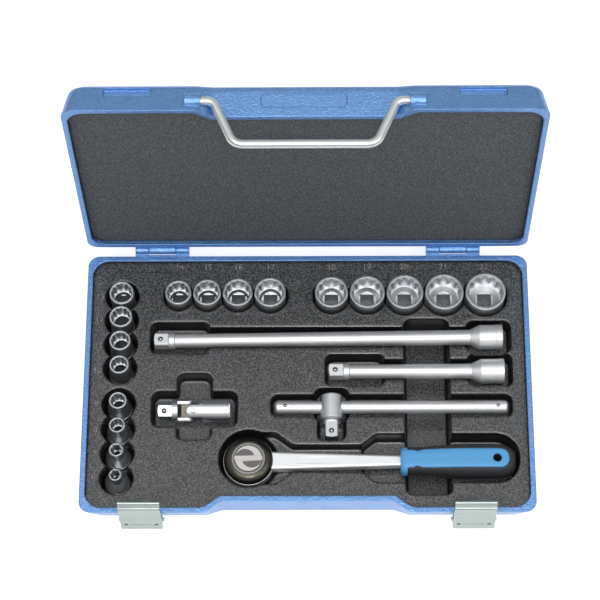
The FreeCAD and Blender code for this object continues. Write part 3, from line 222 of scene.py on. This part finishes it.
@dataclass(frozen=True)
class Finish:
    """A surface finish: colours, gloss, texture and how round its edges catch the light."""

    name: str
    light: Colour
    dark: Colour
    roughness: float
    metallic: float = 0.0
    texture: Texture = Texture.GRAIN
    texture_mm: float = 1.0
    bump_mm: float = 0.1
    bump: float = 0.3
    edge_mm: float = 0.5
    coat: float = 0.0
    coat_rough: float = 0.2
    rough_swing: float = 0.1
    specular: float = 0.5
    steep: Colour | None = None
    slot: str = ""

    def material(self) -> bpy.types.Material:
        """Return this finish's material, made on its first use."""
        found = bpy.data.materials.get(f"{self.name}_finish")
        return found or self._make()

    def _make(self) -> bpy.types.Material:
        """Build the node material on object coordinates.

        Returns:
            The new material.
        """
        material = bpy.data.materials.new(f"{self.name}_finish")
        material.use_nodes = True
        sheet = NodeSheet(material.node_tree)
        shader = material.node_tree.nodes["Principled BSDF"]
        place = sheet.add("TexCoord").outputs["Object"]
        grain = sheet.tree.nodes.new("ShaderNodeGroup")
        grain.node_tree = GROUPS.get(self.texture)
        sheet.feed(grain.inputs["Vector"], place)
        grain.inputs["Size"].default_value = millimetres(self.texture_mm)
        scuffs = sheet.tree.nodes.new("ShaderNodeGroup")
        scuffs.node_tree = GROUPS.get(Texture.SCUFFS)
        sheet.feed(scuffs.inputs["Vector"], place)
        scuffs.inputs["Size"].default_value = millimetres(SCUFF_MM)
        colour = sheet.blend(grain.outputs["Tint"], self.dark, self.light)
        # Faces that lean away from up, such as pocket walls and lips, get a near-black colour: painted
        # shade.
        if self.steep is not None:
            normal = sheet.add("TexCoord").outputs["Normal"]
            facing = sheet.add("SeparateXYZ", None, Vector=normal).outputs["Z"]
            colour = sheet.blend(sheet.ramp(facing, *PAINTED_SHADE_BAND), self.steep, colour)
        sheet.feed(shader.inputs["Base Color"], colour)
        shader.inputs["Specular IOR Level"].default_value = self.specular
        swing = sheet.math("MULTIPLY", grain.outputs["Tint"], self.rough_swing)
        worn = sheet.math("MULTIPLY", scuffs.outputs["Tint"], self.rough_swing)
        rough = sheet.math("ADD", sheet.math("ADD", swing, worn), self.roughness)
        sheet.feed(shader.inputs["Roughness"], rough)
        shader.inputs["Metallic"].default_value = self.metallic
        shader.inputs["Coat Weight"].default_value = self.coat
        shader.inputs["Coat Roughness"].default_value = self.coat_rough
        edge = sheet.add("Bevel", {"samples": BEVEL_SAMPLES}, Radius=millimetres(self.edge_mm))
        bump = sheet.add("Bump", None, Height=grain.outputs["Height"], Normal=edge.outputs["Normal"])
        bump.inputs["Strength"].default_value = self.bump
        bump.inputs["Distance"].default_value = millimetres(self.bump_mm)
        sheet.feed(shader.inputs["Normal"], bump.outputs["Normal"])
        return material


CASE_PAINT = Finish(
    "case_paint", (0.175, 0.350, 0.670), (0.100, 0.240, 0.530), roughness=0.28, metallic=0.70,
    texture=Texture.HAMMERED, texture_mm=1.2, bump_mm=0.30, bump=0.80, edge_mm=1.2, coat=0.15)
# The tray's light colour on the grain's tops is partly the grain's own tone and partly painted highlights on
# the pebbles.
TRAY_PLASTIC = Finish(
    "tray_plastic", (0.165, 0.172, 0.179), (0.011, 0.012, 0.013), roughness=0.40, texture_mm=0.85,
    # The near-black colour on the pocket walls and lips is painted shade.
    bump_mm=0.25, bump=0.7, edge_mm=0.8, coat=0.7, coat_rough=0.16, steep=(0.004, 0.004, 0.005))
FOAM_SKIN = Finish(
    "foam", (0.190, 0.203, 0.216), (0.082, 0.088, 0.095), roughness=0.92, texture_mm=0.9,
    bump_mm=0.25, bump=0.5, edge_mm=0.8, specular=0.2)
SATIN_CHROME = Finish(
    "satin_chrome", (0.74, 0.76, 0.78), (0.58, 0.60, 0.62), roughness=0.34, metallic=0.97,
    texture=Texture.BRUSHED, texture_mm=0.35, bump_mm=0.02, bump=0.15, edge_mm=0.35, rough_swing=0.12)
# A brighter copy of the satin chrome for the bars, the ratchet body and the knurling: painted light.
LIT_BAR_CHROME = Finish(
    "lit_bar_chrome", (0.88, 0.895, 0.91), (0.76, 0.775, 0.79), roughness=0.42, metallic=0.75,
    texture=Texture.BRUSHED, texture_mm=0.35, bump_mm=0.02, bump=0.15, edge_mm=0.35, rough_swing=0.12,
    slot="satin_chrome")
RING_STEEL = Finish(
    "ring_steel", (0.34, 0.34, 0.31), (0.22, 0.22, 0.20), roughness=0.35, metallic=1.0,
    texture=Texture.BRUSHED, texture_mm=0.35, bump_mm=0.02, bump=0.15, edge_mm=0.35, slot="satin_chrome")
PLATED_STEEL = Finish(
    "plated_steel", (0.50, 0.55, 0.53), (0.34, 0.40, 0.38), roughness=0.32, metallic=1.0,
    texture=Texture.BRUSHED, texture_mm=1.2, bump_mm=0.05, bump=0.2, edge_mm=0.5, rough_swing=0.15)
WIRE_STEEL = Finish(
    "wire_steel", (0.76, 0.80, 0.79), (0.58, 0.63, 0.61), roughness=0.28, metallic=0.95,
    texture=Texture.BRUSHED, texture_mm=1.2, bump_mm=0.05, bump=0.2, edge_mm=0.5, rough_swing=0.15,
    slot="plated_steel")
# Darkened metal for the joint block and the pawl; on the head dome this dark colour is a painted dark
# reflection on the chrome.
DARK_STEEL_AND_REFLECTION = Finish(
    "dark_steel", (0.115, 0.110, 0.090), (0.055, 0.052, 0.042), roughness=0.24, metallic=1.0,
    texture=Texture.BRUSHED, texture_mm=0.6, bump_mm=0.03, bump=0.2, edge_mm=0.4)
BALL_STEEL = Finish(
    "ball_steel", (0.40, 0.41, 0.42), (0.28, 0.29, 0.30), roughness=0.18, metallic=1.0,
    texture=Texture.BRUSHED, texture_mm=0.3, bump_mm=0.01, bump=0.1, edge_mm=0.2)
DISC_PLASTIC = Finish(
    "disc_plastic", (0.82, 0.78, 0.76), (0.70, 0.67, 0.65), roughness=0.42, texture_mm=0.4,
    bump_mm=0.02, bump=0.2, edge_mm=0.3, specular=0.3)
DISC_GREY = Finish(
    "disc_grey", (0.20, 0.195, 0.20), (0.15, 0.145, 0.15), roughness=0.45, texture_mm=0.4,
    bump_mm=0.02, bump=0.2, edge_mm=0.2, specular=0.3, slot="disc_plastic")
# Dark grip plastic; the same colour fills the disc's groove as painted shade.
DARK_GRIP_AND_GROOVE_SHADE = Finish(
    "grip_dark", (0.040, 0.042, 0.046), (0.025, 0.026, 0.029), roughness=0.50, texture_mm=0.35,
    bump_mm=0.05, bump=0.3, edge_mm=0.6, specular=0.4)
GRIP_BLUE = Finish(
    "grip_blue", (0.135, 0.46, 0.84), (0.105, 0.39, 0.75), roughness=0.42, texture_mm=0.35,
    bump_mm=0.04, bump=0.25, edge_mm=0.6, specular=0.4)
PRINT_INK = Finish(
    "print_ink", (0.46, 0.43, 0.36), (0.16, 0.15, 0.13), roughness=0.7, texture_mm=1.1,
    bump_mm=0.05, bump=0.2, edge_mm=0.1, slot="tray_plastic")


class Bench:
    """Shared work on meshes: placing a piece, softening a copy of a solid, and dressing solids."""

    @staticmethod
    def place(name: str, form: bmesh.types.BMesh, finish: Finish, body: str) -> bpy.types.Object:
        """Turn a finished bmesh into an object that rides on a body.

        Args:
            name: Name of the piece.
            form: Its shape, in metres, in its place; it is freed.
            finish: Its finish.
            body: The body that carries it.

        Returns:
            The new object.
        """
        mesh = bpy.data.meshes.new(name)
        form.to_mesh(mesh)
        form.free()
        mesh.materials.append(finish.material())
        mesh.shade_smooth()
        mesh.set_sharp_from_angle(angle=SHARP_EDGE)
        piece = bpy.data.objects.new(name, mesh)
        bpy.context.scene.collection.objects.link(piece)
        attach(piece, body)
        LOG.info("%s rides on %s with %d faces", name, body, len(mesh.polygons))
        return piece

    @staticmethod
    def solid_copy(*nodes: str) -> bmesh.types.BMesh:
        """Return one merged copy of the meshes of some solids."""
        form = bmesh.new()
        for node in nodes:
            form.from_mesh(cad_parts[node].data)
        bmesh.ops.remove_doubles(form, verts=form.verts, dist=MERGE_DISTANCE)
        return form

    @staticmethod
    def softened(form: bmesh.types.BMesh, voxel_mm: float, rounds: int, keep: float) -> bmesh.types.BMesh:
        """Round every edge of a closed form by an even remesh, smoothing and thinning.

        Args:
            form: The closed form; it is freed.
            voxel_mm: Grain of the remesh in millimetres.
            rounds: How many smoothing passes follow.
            keep: Share of the triangles that the thinning keeps, most of them on the curved parts.

        Returns:
            The softened form.
        """
        mesh = bpy.data.meshes.new("softening")
        form.to_mesh(mesh)
        form.free()
        helper = bpy.data.objects.new("softening", mesh)
        bpy.context.scene.collection.objects.link(helper)
        remesh = helper.modifiers.new("even", "REMESH")
        remesh.mode = "VOXEL"
        remesh.voxel_size = millimetres(voxel_mm)
        smooth = helper.modifiers.new("round", "SMOOTH")
        smooth.factor = SMOOTH_FACTOR
        smooth.iterations = rounds
        thin = helper.modifiers.new("thin", "DECIMATE")
        thin.ratio = keep
        graph = bpy.context.evaluated_depsgraph_get()
        even = bpy.data.meshes.new_from_object(helper.evaluated_get(graph))
        bpy.data.objects.remove(helper)
        bpy.data.meshes.remove(mesh)
        soft = bmesh.new()
        soft.from_mesh(even)
        bpy.data.meshes.remove(even)
        return soft

    @staticmethod
    def bridge_round(form: bmesh.types.BMesh, loops: list[list[bmesh.types.BMVert]]) -> None:
        """Join closed loops of points in turn, and the last to the first, into one closed skin.

        Args:
            form: The form that holds the points.
            loops: Loops with the same number of points, in order round the skin's section.
        """
        rings = [[form.edges.new(pair) for pair in zip(loop, loop[1:] + loop[:1])] for loop in loops]
        for before, after in zip(rings, rings[1:] + rings[:1]):
            bmesh.ops.bridge_loops(form, edges=before + after)
        bmesh.ops.recalc_face_normals(form, faces=form.faces)

    @staticmethod
    def figures(text: str, height_mm: float) -> bpy.types.Mesh:
        """Return a number as a thin plate about the origin, as tall as the height given.

        Args:
            text: The number.
            height_mm: Height of the type in millimetres.

        Returns:
            The new mesh.
        """
        curve = bpy.data.curves.new("figures", "FONT")
        curve.body = text
        curve.size = millimetres(height_mm)
        curve.align_x = "CENTER"
        curve.align_y = "CENTER"
        curve.extrude = millimetres(FIGURE_HALF_MM)
        helper = bpy.data.objects.new("figures", curve)
        bpy.context.scene.collection.objects.link(helper)
        graph = bpy.context.evaluated_depsgraph_get()
        mesh = bpy.data.meshes.new_from_object(helper.evaluated_get(graph))
        bpy.data.objects.remove(helper)
        bpy.data.curves.remove(curve)
        return mesh

    @staticmethod
    def dress(node: str, finish: Finish) -> None:
        """Give a solid that stays in view its finish."""
        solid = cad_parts[node]
        solid.data.materials.clear()
        solid.data.materials.append(finish.material())
        LOG.info("%s keeps its solid, in %s", node, finish.name)


@dataclass
class Case:
    """The painted steel base and lid with hinges, latches and the wire handle."""

    painted: tuple[str, ...] = (
        "base_shell", "lid_shell", "hinge_base_leaves", "hinge_lid_leaves", "hinge_pins")
    plated: tuple[str, ...] = ("left_latch_clip", "right_latch_clip", "latch_brackets", "latch_pins")
    frame_middle: tuple[float, float] = (-0.75, 123.6)
    frame_half: tuple[float, float] = (28.0, 4.9)
    frame_corner: float = 3.0
    frame_bead: tuple[tuple[float, float], ...] = ((-0.55, -0.06), (0.0, 0.28), (0.55, -0.06), (0.0, -0.30))
    corner_steps: int = 8
    ray_start: float = 1000.0

    def build(self) -> None:
        """Dress the solids of the case and press the plain frame into the lid's recess."""
        for node in self.painted:
            Bench.dress(node, CASE_PAINT)
        for node in self.plated:
            Bench.dress(node, PLATED_STEEL)
        Bench.dress("carry_handle", WIRE_STEEL)
        Bench.place("lid_frame_bead", self._bead(), CASE_PAINT, "lid")

    def _bead(self) -> bmesh.types.BMesh:
        """Return the thin rounded frame that stands on the lid's recess, with nothing inside it."""
        form = Bench.solid_copy("lid_shell")
        tree = BVHTree.FromBMesh(form)
        form.clear()
        loops = []
        for grow, rise in self.frame_bead:
            places = [Vector((*place, millimetres(self.ray_start))) for place in self._outline(grow)]
            heights = [tree.ray_cast(place, -UP)[0].z + millimetres(rise) for place in places]
            loops.append([form.verts.new((*place.xy, height)) for place, height in zip(places, heights)])
        Bench.bridge_round(form, loops)
        return form

    def _outline(self, grow: float) -> list[Vector]:
        """Return the frame's rounded outline in plan, moved outwards by grow millimetres."""
        places = []
        reach_x, reach_y = (half - self.frame_corner for half in self.frame_half)
        for turn, (side_x, side_y) in enumerate(((1, 1), (-1, 1), (-1, -1), (1, -1))):
            centre = Vector(self.frame_middle) + Vector((side_x * reach_x, side_y * reach_y))
            for step in range(self.corner_steps + 1):
                angle = math.pi / 2 * (turn + step / self.corner_steps)
                arm = Vector((math.cos(angle), math.sin(angle))) * (self.frame_corner + grow)
                places.append(millimetres(centre + arm))
        return places


@dataclass
class LidPad:
    """The foam pad that fills the lid."""

    grain_mm: float = 1.4
    rounds: int = 5
    keep: float = 0.25

    def build(self) -> None:
        """Make the pad with soft edges in the place of its plain solid."""
        form = Bench.softened(Bench.solid_copy("lid_foam"), self.grain_mm, self.rounds, self.keep)
        pad = Bench.place("lid_pad", form, FOAM_SKIN, "lid")
        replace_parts(pad, "lid_foam")


@dataclass
class ToolTray:
    """The formed black tray with its rounded pocket lips and printed sizes."""

    grain_mm: float = 0.95
    rounds: int = 6
    keep: float = 0.3
    underside: float = -0.5
    floor_mm: float = 1.5
    foot_mm: float = -6.0
    foot_share: tuple[float, float] = (0.947, 0.912)
    foot_plate: tuple[float, float, float] = (340.0, 220.0, 4.0)
    print_level: float = 27.14
    print_mm: float = 6.4
    column_x: float = -150.0
    column_y: tuple[float, ...] = (-69.9, -52.6, -34.5, -15.0, 10.3, 29.4, 49.8, 67.3)
    row_y: float = 90.3
    row_x: tuple[float, ...] = (-93.2, -72.4, -50.3, -27.0, 17.3, 43.1, 70.2, 98.6, 128.2)
    first_size: int = 6

    def build(self) -> None:
        """Make the tray's skin and print the sizes beside the pockets."""
        panels = [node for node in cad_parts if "tray" in node]
        tray = Bench.place("tray_skin", self._skin(panels), TRAY_PLASTIC, "base")
        for node in panels:
            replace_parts(tray, node)
        Bench.place("size_print", self._print(), PRINT_INK, "base")

    def _skin(self, panels: list[str]) -> bmesh.types.BMesh:
        """Return the tray as one closed form whose lips and corners are rounded.

        Args:
            panels: The solids that the tray's sheet is cut into.

        Returns:
            The new form.
        """
        form = Bench.solid_copy(*panels)
        tree = BVHTree.FromBMesh(form)
        under = [face for face in form.faces if self._covered(tree, face)]
        bmesh.ops.delete(form, geom=under, context="FACES")
        rim = [edge for edge in form.edges if edge.is_boundary]
        walls = bmesh.ops.extrude_edge_only(form, edges=rim)["geom"]
        for vert in (part for part in walls if isinstance(part, bmesh.types.BMVert)):
            vert.co.x *= self.foot_share[0]
            vert.co.y *= self.foot_share[1]
            vert.co.z = millimetres(self.foot_mm)
        stretch = Matrix.Diagonal((*(millimetres(side) for side in self.foot_plate), 1.0))
        plate = Matrix.Translation(UP * millimetres(self.foot_mm)) @ stretch
        bmesh.ops.create_cube(form, size=1.0, matrix=plate)
        bmesh.ops.recalc_face_normals(form, faces=form.faces)
        soft = Bench.softened(form, self.grain_mm, self.rounds, self.keep)
        every = soft.verts[:] + soft.edges[:] + soft.faces[:]
        level = UP * millimetres(self.floor_mm)
        bmesh.ops.bisect_plane(soft, geom=every, plane_co=level, plane_no=-UP, clear_outer=True)
        bmesh.ops.holes_fill(soft, edges=[edge for edge in soft.edges if edge.is_boundary], sides=0)
        return soft

    def _covered(self, tree: BVHTree, face: bmesh.types.BMFace) -> bool:
        """Return whether a face of the tray's sheet looks down or lies under the sheet."""
        start = face.calc_center_median() + face.normal * RAY_NUDGE + UP * RAY_NUDGE
        return face.normal.z < self.underside or tree.ray_cast(start, UP)[0] is not None

    def _print(self) -> bmesh.types.BMesh:
        """Return the printed size numbers as one flat form on the tray's top."""
        places = [(self.column_x, y) for y in self.column_y] + [(x, self.row_y) for x in self.row_x]
        form = bmesh.new()
        for size, (x, y) in enumerate(places, self.first_size):
            figures = Bench.figures(str(size), self.print_mm)
            figures.transform(Matrix.Translation(millimetres(Vector((x, y, self.print_level)))))
            form.from_mesh(figures)
            bpy.data.meshes.remove(figures)
        return form


@dataclass
class Tools:
    """The sockets, extensions, universal joint, T bar and ratchet that stay as their solids."""

    bars: tuple[str, ...] = (
        "long_extension", "short_extension", "t_bar_rod", "ratchet_body", "ratchet_drive_gear")
    polished: tuple[str, ...] = ("joint_female_yoke", "joint_male_yoke", "t_bar_head")
    darkened: tuple[str, ...] = ("joint_block", "ratchet_pawl")
    knurled: tuple[tuple[str, float, float, float], ...] = (
        ("long_extension", 139.79, 36.9, 0.6), ("short_extension", 140.2, 10.6, 0.0))
    axis_level: float = 23.0
    knurl_length: float = 4.6
    knurl_rows: int = 6
    knurl_teeth: int = 56
    knurl_radii: tuple[float, float, float] = (8.60, 8.90, 9.03)

    def build(self) -> None:
        """Dress every tool's solids and add the knurling on the extensions."""
        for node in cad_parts:
            if node.startswith("socket_") or node in self.polished:
                Bench.dress(node, SATIN_CHROME)
            elif node in self.bars:
                Bench.dress(node, LIT_BAR_CHROME)
            elif node in self.darkened:
                Bench.dress(node, DARK_STEEL_AND_REFLECTION)
            elif node.endswith(("_ball", "_balls", "_pin")):
                Bench.dress(node, BALL_STEEL)
        Bench.dress("ratchet_reverse_disc", DISC_PLASTIC)
        Bench.dress("ratchet_cover_ring", RING_STEEL)
        for body, x, y, skew in self.knurled:
            end = Matrix.Translation(millimetres(Vector((x, y, self.axis_level))))
            turn = Matrix.Rotation(math.radians(skew), 4, "Z") @ Matrix.Rotation(math.pi / 2, 4, "Y")
            Bench.place(f"{body}_knurl", self._knurl(end @ turn), LIT_BAR_CHROME, body)

    def _knurl(self, place: Matrix) -> bmesh.types.BMesh:
        """Return a ring of small diamond teeth.

        Args:
            place: Where the ring's end stands, with Z along the tool.

        Returns:
            The new form.
        """
        form = bmesh.new()
        inner, valley, peak = self.knurl_radii
        count = 2 * self.knurl_teeth
        levels = [-self.knurl_length * row / self.knurl_rows for row in range(self.knurl_rows + 1)]
        rows = [(level, (valley, peak) if row % 2 else (peak, valley)) for row, level in enumerate(levels)]
        rows += [(levels[-1], (inner, inner)), (levels[0], (inner, inner))]
        turns = [math.tau * step / count for step in range(count)]
        arms = [Vector((math.cos(turn), math.sin(turn), 0.0)) for turn in turns]
        loops = []
        for level, radii in rows:
            places = [arm * radii[step % 2] + UP * level for step, arm in enumerate(arms)]
            loops.append([form.verts.new(millimetres(place)) for place in places])
        Bench.bridge_round(form, loops)
        bmesh.ops.transform(form, matrix=place, verts=form.verts)
        return form


@dataclass
class RatchetHead:
    """The ratchet head's dome, a dark shell of painted reflection over the chrome, and its reversing disc
    with grey fields and a dark ring of painted shade in its groove.
    """

    centre_mm: tuple[float, float] = (-41.4, -57.3)
    round_centre: tuple[float, float] = (11.5, 25.0)
    round_radii: tuple[float, float] = (6.06, 5.5)
    round_steps: int = 12
    rim_radius: float = 0.45
    groove_mm: tuple[tuple[float, float], ...] = (
        (9.38, 31.20), (9.96, 31.20), (9.96, 31.48), (9.38, 31.48))
    steps: int = 96
    field_segments: int = 48
    field_radius: float = 7.0
    field_bar: float = 2.05
    field_level: tuple[float, float] = (31.30, 31.46)
    field_shift: float = 2.4
    field_turn: float = 3.0

    def build(self) -> None:
        """Make the dome in painted dark reflection, its bright rim, the groove's dark ring of painted shade,
        and the fields of the disc.
        """
        outer, inner = (self._arc(radius) for radius in self.round_radii)
        # The dome is a dark shell over the chrome head: painted dark reflection.
        Bench.place("head_dome_reflection", self._spun(outer + inner[::-1]), DARK_STEEL_AND_REFLECTION, "ratchet")
        Bench.place("head_rim", self._spun(self._rim()), SATIN_CHROME, "ratchet")
        # A near-black ring in the gap round the disc: painted shade.
        Bench.place("disc_groove_shade", self._spun(list(self.groove_mm)), DARK_GRIP_AND_GROOVE_SHADE, "ratchet_disc")
        Bench.place("disc_fields", self._fields(), DISC_GREY, "ratchet_disc")

    def _arc(self, radius: float) -> Section:
        """Return a quarter round of the head's top edge as radius and height pairs."""
        middle, level = self.round_centre
        turns = [math.pi / 2 * (1.0 - step / self.round_steps) for step in range(self.round_steps + 1)]
        return [(middle + radius * math.cos(turn), level + radius * math.sin(turn)) for turn in turns]

    def _rim(self) -> Section:
        """Return the section of the bright rim under the dome as radius and height pairs."""
        middle = self.round_centre[0] + self.round_radii[1] + self.rim_radius
        level = self.round_centre[1]
        turns = [math.tau * step / self.round_steps for step in range(self.round_steps)]
        size = self.rim_radius
        return [(middle + size * math.cos(turn), level + size * math.sin(turn)) for turn in turns]

    def _centre(self, level: float = 0.0) -> Vector:
        """Return a point on the head's axis."""
        return millimetres(Vector((*self.centre_mm, level)))

    def _spun(self, section: Section) -> bmesh.types.BMesh:
        """Return a closed section of radius and height pairs spun round the head's axis."""
        form = bmesh.new()
        centre = self._centre()
        verts = [form.verts.new(centre + millimetres(Vector((r, 0.0, z)))) for r, z in section]
        edges = [form.edges.new(pair) for pair in zip(verts, verts[1:] + verts[:1])]
        bmesh.ops.spin(
            form, geom=verts + edges, cent=centre, axis=UP, angle=math.tau, steps=self.steps, use_merge=True)
        bmesh.ops.recalc_face_normals(form, faces=form.faces)
        return form

    def _fields(self) -> bmesh.types.BMesh:
        """Return the two grey fields, one on each side of the disc's bar."""
        form = bmesh.new()
        low, high = self.field_level
        for side in (-1, 1):
            made = bmesh.ops.create_circle(
                form, cap_ends=True, segments=self.field_segments, radius=millimetres(self.field_radius))
            disc = made["verts"]
            shift = Vector((millimetres(-side * self.field_shift), 0.0, 0.0))
            bmesh.ops.translate(form, verts=disc, vec=shift)
            faces = dict.fromkeys(face for vert in disc for face in vert.link_faces)
            edges = dict.fromkeys(edge for vert in disc for edge in vert.link_edges)
            cut = Vector((0.0, millimetres(side * self.field_bar), 0.0))
            every = [*disc, *edges, *faces]
            bmesh.ops.bisect_plane(form, geom=every, plane_co=cut, plane_no=(0, -side, 0), clear_outer=True)
        plates = form.faces[:]
        raised = bmesh.ops.extrude_face_region(form, geom=plates)["geom"]
        lifted = [part for part in raised if isinstance(part, bmesh.types.BMVert)]
        bmesh.ops.translate(form, verts=lifted, vec=UP * millimetres(high - low))
        bmesh.ops.recalc_face_normals(form, faces=form.faces)
        turn = Matrix.Translation(self._centre(low)) @ Matrix.Rotation(math.radians(self.field_turn), 4, "Z")
        bmesh.ops.transform(form, matrix=turn, verts=form.verts)
        return form


@dataclass
class RatchetGrip:
    """The two-colour moulded grip of the ratchet."""

    grain_mm: float = 0.55
    rounds: int = 5
    keep: float = 0.4
    parts: tuple[tuple[str, str, Finish], ...] = (
        ("ratchet_grip", "grip_body", DARK_GRIP_AND_GROOVE_SHADE), ("ratchet_grip_cover", "grip_cover", GRIP_BLUE))

    def build(self) -> None:
        """Make the dark grip and its blue cover with soft edges."""
        for node, name, finish in self.parts:
            form = Bench.softened(Bench.solid_copy(node), self.grain_mm, self.rounds, self.keep)
            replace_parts(Bench.place(name, form, finish, "ratchet"), node)


@dataclass
class Studio:
    """The camera of the photograph, a white floor and soft lamps."""

    focal_pixels: float = 2187.51
    image_pixels: float = 600.0
    sensor_mm: float = 36.0
    place_mm: tuple[float, float, float] = (11.718, -544.793, 1487.070)
    pitch: float = 67.342
    yaw: float = 1.614
    roll: float = -1.652
    floor_half: float = 6.0
    floor_tone: Colour = (0.9, 0.9, 0.9)
    floor_rough: float = 0.9
    floor_glow: float = 0.60
    mirror_band: tuple[float, float] = (0.05, 0.85)
    mirror_swing: float = 0.60
    mirror_least: float = 0.25
    diffuse_light: float = 0.32
    lamps: tuple[tuple[str, tuple[float, float, float], float, float], ...] = (
        ("key", (-0.30, -0.60, 2.20), 1.6, 20.0),
        ("spark", (0.10, -0.80, 1.90), 0.35, 5.0),
        ("fill", (0.90, -0.40, 1.20), 1.0, 4.0))
    lamp_aim: tuple[float, float, float] = (0.0, 0.0, 0.05)

    def build(self) -> None:
        """Set up the camera, the floor, the world and the lamps."""
        scene = bpy.context.scene
        scene.view_settings.view_transform = "Standard"
        self._camera(scene)
        self._floor(scene)
        self._world(scene)
        for name, place, size, watts in self.lamps:
            self._lamp(scene, name, Vector(place), size, watts)

    def _camera(self, scene: bpy.types.Scene) -> None:
        """Place the camera where the photograph was taken from."""
        pitch, yaw, roll = (math.radians(angle) for angle in (self.pitch, self.yaw, self.roll))
        back = Vector((math.sin(yaw) * math.cos(pitch), -math.cos(yaw) * math.cos(pitch), math.sin(pitch)))
        right = Vector((math.cos(yaw), math.sin(yaw), 0.0))
        above = back.cross(right)
        turn = Matrix((right, above, back))
        spin = Matrix(((math.cos(roll), math.sin(roll), 0), (-math.sin(roll), math.cos(roll), 0), (0, 0, 1)))
        lens = bpy.data.cameras.new("camera")
        lens.sensor_fit = "HORIZONTAL"
        lens.sensor_width = self.sensor_mm
        lens.lens = self.focal_pixels / self.image_pixels * self.sensor_mm
        camera = bpy.data.objects.new("camera", lens)
        scene.collection.objects.link(camera)
        place = Matrix.Translation(millimetres(Vector(self.place_mm)))
        camera.matrix_world = place @ (spin @ turn).transposed().to_4x4()
        scene.camera = camera

    @staticmethod
    def _seen(sheet: NodeSheet) -> bpy.types.NodeSocket:
        """Return 1 for camera, glossy and transmission rays."""
        path = sheet.add("LightPath")
        first = sheet.math("MAXIMUM", path.outputs["Is Camera Ray"], path.outputs["Is Glossy Ray"])
        return sheet.math("MAXIMUM", first, path.outputs["Is Transmission Ray"])

    def _floor(self, scene: bpy.types.Scene) -> None:
        """Lay a wide white floor that still takes the shadow."""
        form = bmesh.new()
        bmesh.ops.create_grid(form, x_segments=1, y_segments=1, size=self.floor_half)
        mesh = bpy.data.meshes.new("floor")
        form.to_mesh(mesh)
        form.free()
        material = bpy.data.materials.new("floor_white")
        material.use_nodes = True
        sheet = NodeSheet(material.node_tree)
        shader = material.node_tree.nodes["Principled BSDF"]
        shader.inputs["Base Color"].default_value = (*self.floor_tone, 1.0)
        shader.inputs["Roughness"].default_value = self.floor_rough
        shader.inputs["Emission Color"].default_value = WHITE
        glow = sheet.math("MULTIPLY", self._seen(sheet), self.floor_glow)
        sheet.feed(shader.inputs["Emission Strength"], glow)
        mesh.materials.append(material)
        floor = bpy.data.objects.new("floor", mesh)
        scene.collection.objects.link(floor)

    def _world(self, scene: bpy.types.Scene) -> None:
        """Make the surroundings white where they show and softer as a light."""
        world = bpy.data.worlds.new("white_room")
        world.use_nodes = True
        sheet = NodeSheet(world.node_tree)
        back = world.node_tree.nodes["Background"]
        back.inputs["Color"].default_value = WHITE
        path = sheet.add("LightPath")
        direction = sheet.add("TexCoord").outputs["Generated"]
        height = sheet.add("SeparateXYZ", None, Vector=direction).outputs["Z"]
        swing = sheet.math("MULTIPLY", sheet.ramp(height, *self.mirror_band), self.mirror_swing)
        mirrored = sheet.math("ADD", swing, self.mirror_least)
        glossy = sheet.math("MULTIPLY", path.outputs["Is Glossy Ray"], mirrored)
        diffuse = sheet.math("MULTIPLY", path.outputs["Is Diffuse Ray"], self.diffuse_light)
        shaded = sheet.math("ADD", glossy, diffuse)
        shown = sheet.math("MAXIMUM", path.outputs["Is Camera Ray"], path.outputs["Is Transmission Ray"])
        sheet.feed(back.inputs["Strength"], sheet.math("MAXIMUM", shown, shaded))
        scene.world = world

    def _lamp(self, scene: bpy.types.Scene, name: str, place: Vector, size: float, watts: float) -> None:
        """Hang one square soft lamp that looks at the case.

        Args:
            scene: The scene that it lights.
            name: Its name.
            place: Where it hangs, in metres.
            size: Side of its square, in metres.
            watts: Its power.
        """
        light = bpy.data.lights.new(name, "AREA")
        light.size = size
        light.energy = watts
        lamp = bpy.data.objects.new(name, light)
        scene.collection.objects.link(lamp)
        lamp.location = place
        lamp.rotation_euler = (Vector(self.lamp_aim) - place).to_track_quat("-Z", "Y").to_euler()


def main() -> None:
    """Build and dress the sub-assemblies in order."""
    logging.basicConfig(level=logging.INFO, format="%(name)s: %(message)s")
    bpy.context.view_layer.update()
    for assembly in (Case(), LidPad(), ToolTray(), Tools(), RatchetHead(), RatchetGrip(), Studio()):
        assembly.build()


if __name__ == "__main__":
    main()
